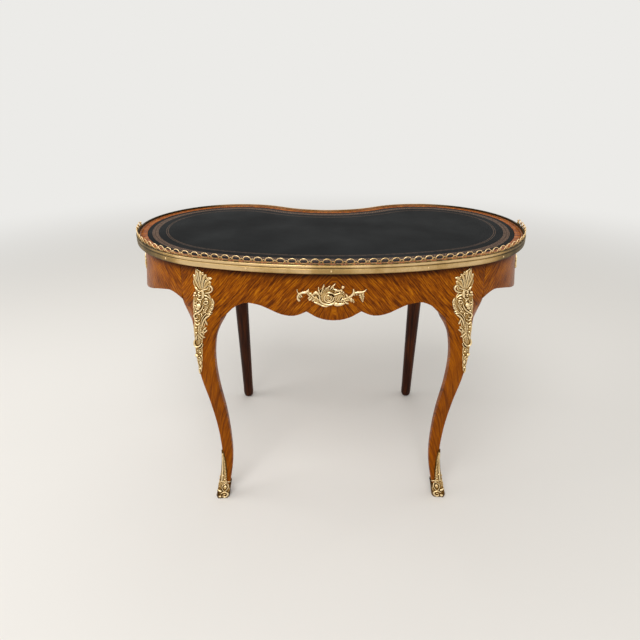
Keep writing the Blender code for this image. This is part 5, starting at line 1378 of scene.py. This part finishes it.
drawer = dict(boardRound=0.6, knobRadius=13.0, knobLength=24.0, knobSides=16,
              knobProfile=((0.00, 0.75), (0.06, 0.78), (0.12, 0.68), (0.20, 0.50), (0.32, 0.42), (0.44, 0.50),
                           (0.54, 0.72), (0.64, 0.94), (0.74, 1.00), (0.84, 0.93), (0.92, 0.74), (0.97, 0.48),
                           (1.00, 0.20)))


def makeKnob():
    radius, length = drawer["knobRadius"], drawer["knobLength"] * mm
    low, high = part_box("drawer_knob")
    level = (low.z + high.z) / 2
    seat = high.y - length
    deselectAll()
    bpy.ops.mesh.primitive_circle_add(vertices=drawer["knobSides"], radius=mm, location=(0, seat, level),
                                      rotation=(pi / 2, 0, 0), fill_type="NGON")
    piece = bpy.context.object
    piece.name = "knob"
    bpy.ops.object.transform_apply(location=True, rotation=True, scale=True)
    editPiece(piece)
    before, place = 1.0, 0.0
    for up, out in drawer["knobProfile"]:
        bpy.ops.mesh.extrude_region_move(TRANSFORM_OT_translate=dict(value=(0, (up - place) * length, 0)))
        size = out * radius / before
        bpy.ops.transform.resize(value=(size, 1, size), center_override=(0, seat, level))
        before, place = out * radius, up
    leaveEdit()
    tidyMesh(piece)
    applyModifier(piece, "SUBSURF", levels=1, render_levels=1)
    evenDarkness(piece, 0.0)
    smoothShade(piece, 60)
    finishPiece(piece, polishedBrass, "drawer", "polished_brass", "drawer_knob")


def makeDrawerBox():
    for part in ("side_left", "side_right", "back", "bottom"):
        piece = copyNode(f"drawer_{part}", f"box_{part}")
        softenEdges(piece, drawer["boardRound"])
        smoothShade(piece, 30)
        finishPiece(piece, bareOak, "drawer", "carcass_wood", f"drawer_{part}")


makeKnob()
makeDrawerBox()
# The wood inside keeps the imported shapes
for node in ("top_board", "drawer_runner_left", "drawer_runner_right", "drawer_kicker_left",
             "drawer_kicker_right", "drawer_stop_left", "drawer_stop_right",
             "glue_block_1", "glue_block_2", "glue_block_3", "glue_block_4"):
    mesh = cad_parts[node].data
    mesh.materials.clear()
    mesh.materials.append(bareOak)
print("drawer made")


# Floor and light: a pale plain floor that fades into the background, and broad soft lights above, which stand
# at x, y, z in metres with their size and power, and look at the middle of the desk

studio = dict(floor="#e9e6e1", floorSize=30.0, fadeFrom=1.6, fadeTo=4.5, background="#ecebe8", world=0.60, aim=0.5,
              lights=((-0.5, -2.0, 3.2, 2.2, 62.0), (-2.6, 0.0, 2.2, 1.6, 22.0), (2.6, 0.6, 2.2, 1.6, 8.0),
                      (0.0, 1.8, 2.8, 2.0, 11.0)))


def makeFloor():
    deselectAll()
    bpy.ops.mesh.primitive_plane_add(size=studio["floorSize"], location=(0, 0, 0))
    floor = bpy.context.object
    floor.name = "floor"
    made, shader = startMaterial("palePlaster", Roughness=0.9, Specular_IOR_Level=0.0)
    flat = addNode(made, "VectorMath", dict(operation="LENGTH"), {0: addNode(made, "TexCoord").outputs["Object"]})
    far = addNode(made, "MapRange", dict(interpolation_type="SMOOTHSTEP"), {
        "Value": flat, "From Min": studio["fadeFrom"], "From Max": studio["fadeTo"]})
    shade = addNode(made, "Mix", dict(data_type="RGBA"), {
        0: far, 6: hexColour(studio["floor"]), 7: hexColour("#000000")})
    wire(made, shader, Base_Color=shade, Emission_Strength=far)
    shader.inputs["Emission Color"].default_value = hexColour(studio["background"])
    floor.data.materials.append(made)


def makeLights():
    for x, y, z, size, power in studio["lights"]:
        deselectAll()
        bpy.ops.object.light_add(type="AREA", location=(x, y, z))
        lamp = bpy.context.object
        lamp.data.size = size
        lamp.data.energy = power
        aim = Vector((0, 0, studio["aim"])) - lamp.location
        lamp.rotation_euler = aim.to_track_quat("-Z", "Y").to_euler()
    world = bpy.data.worlds.new("studio")
    bpy.context.scene.world = world
    world.use_nodes = True
    # The camera, glossy and clear surfaces see the plain background; the object is lit by less of it
    path = addNode(world, "LightPath")
    seen = path.outputs["Is Camera Ray"]
    for kind in ("Is Glossy Ray", "Is Transmission Ray"):
        seen = addNode(world, "Math", dict(operation="MAXIMUM"), {0: seen, 1: path.outputs[kind]})
    strength = addNode(world, "MapRange", inputs={"Value": seen, "To Min": studio["world"], "To Max": 1.0})
    background = world.node_tree.nodes["Background"]
    background.inputs["Color"].default_value = hexColour(studio["background"])
    wire(world, background, Strength=strength)


makeFloor()
makeLights()
print("studio made")
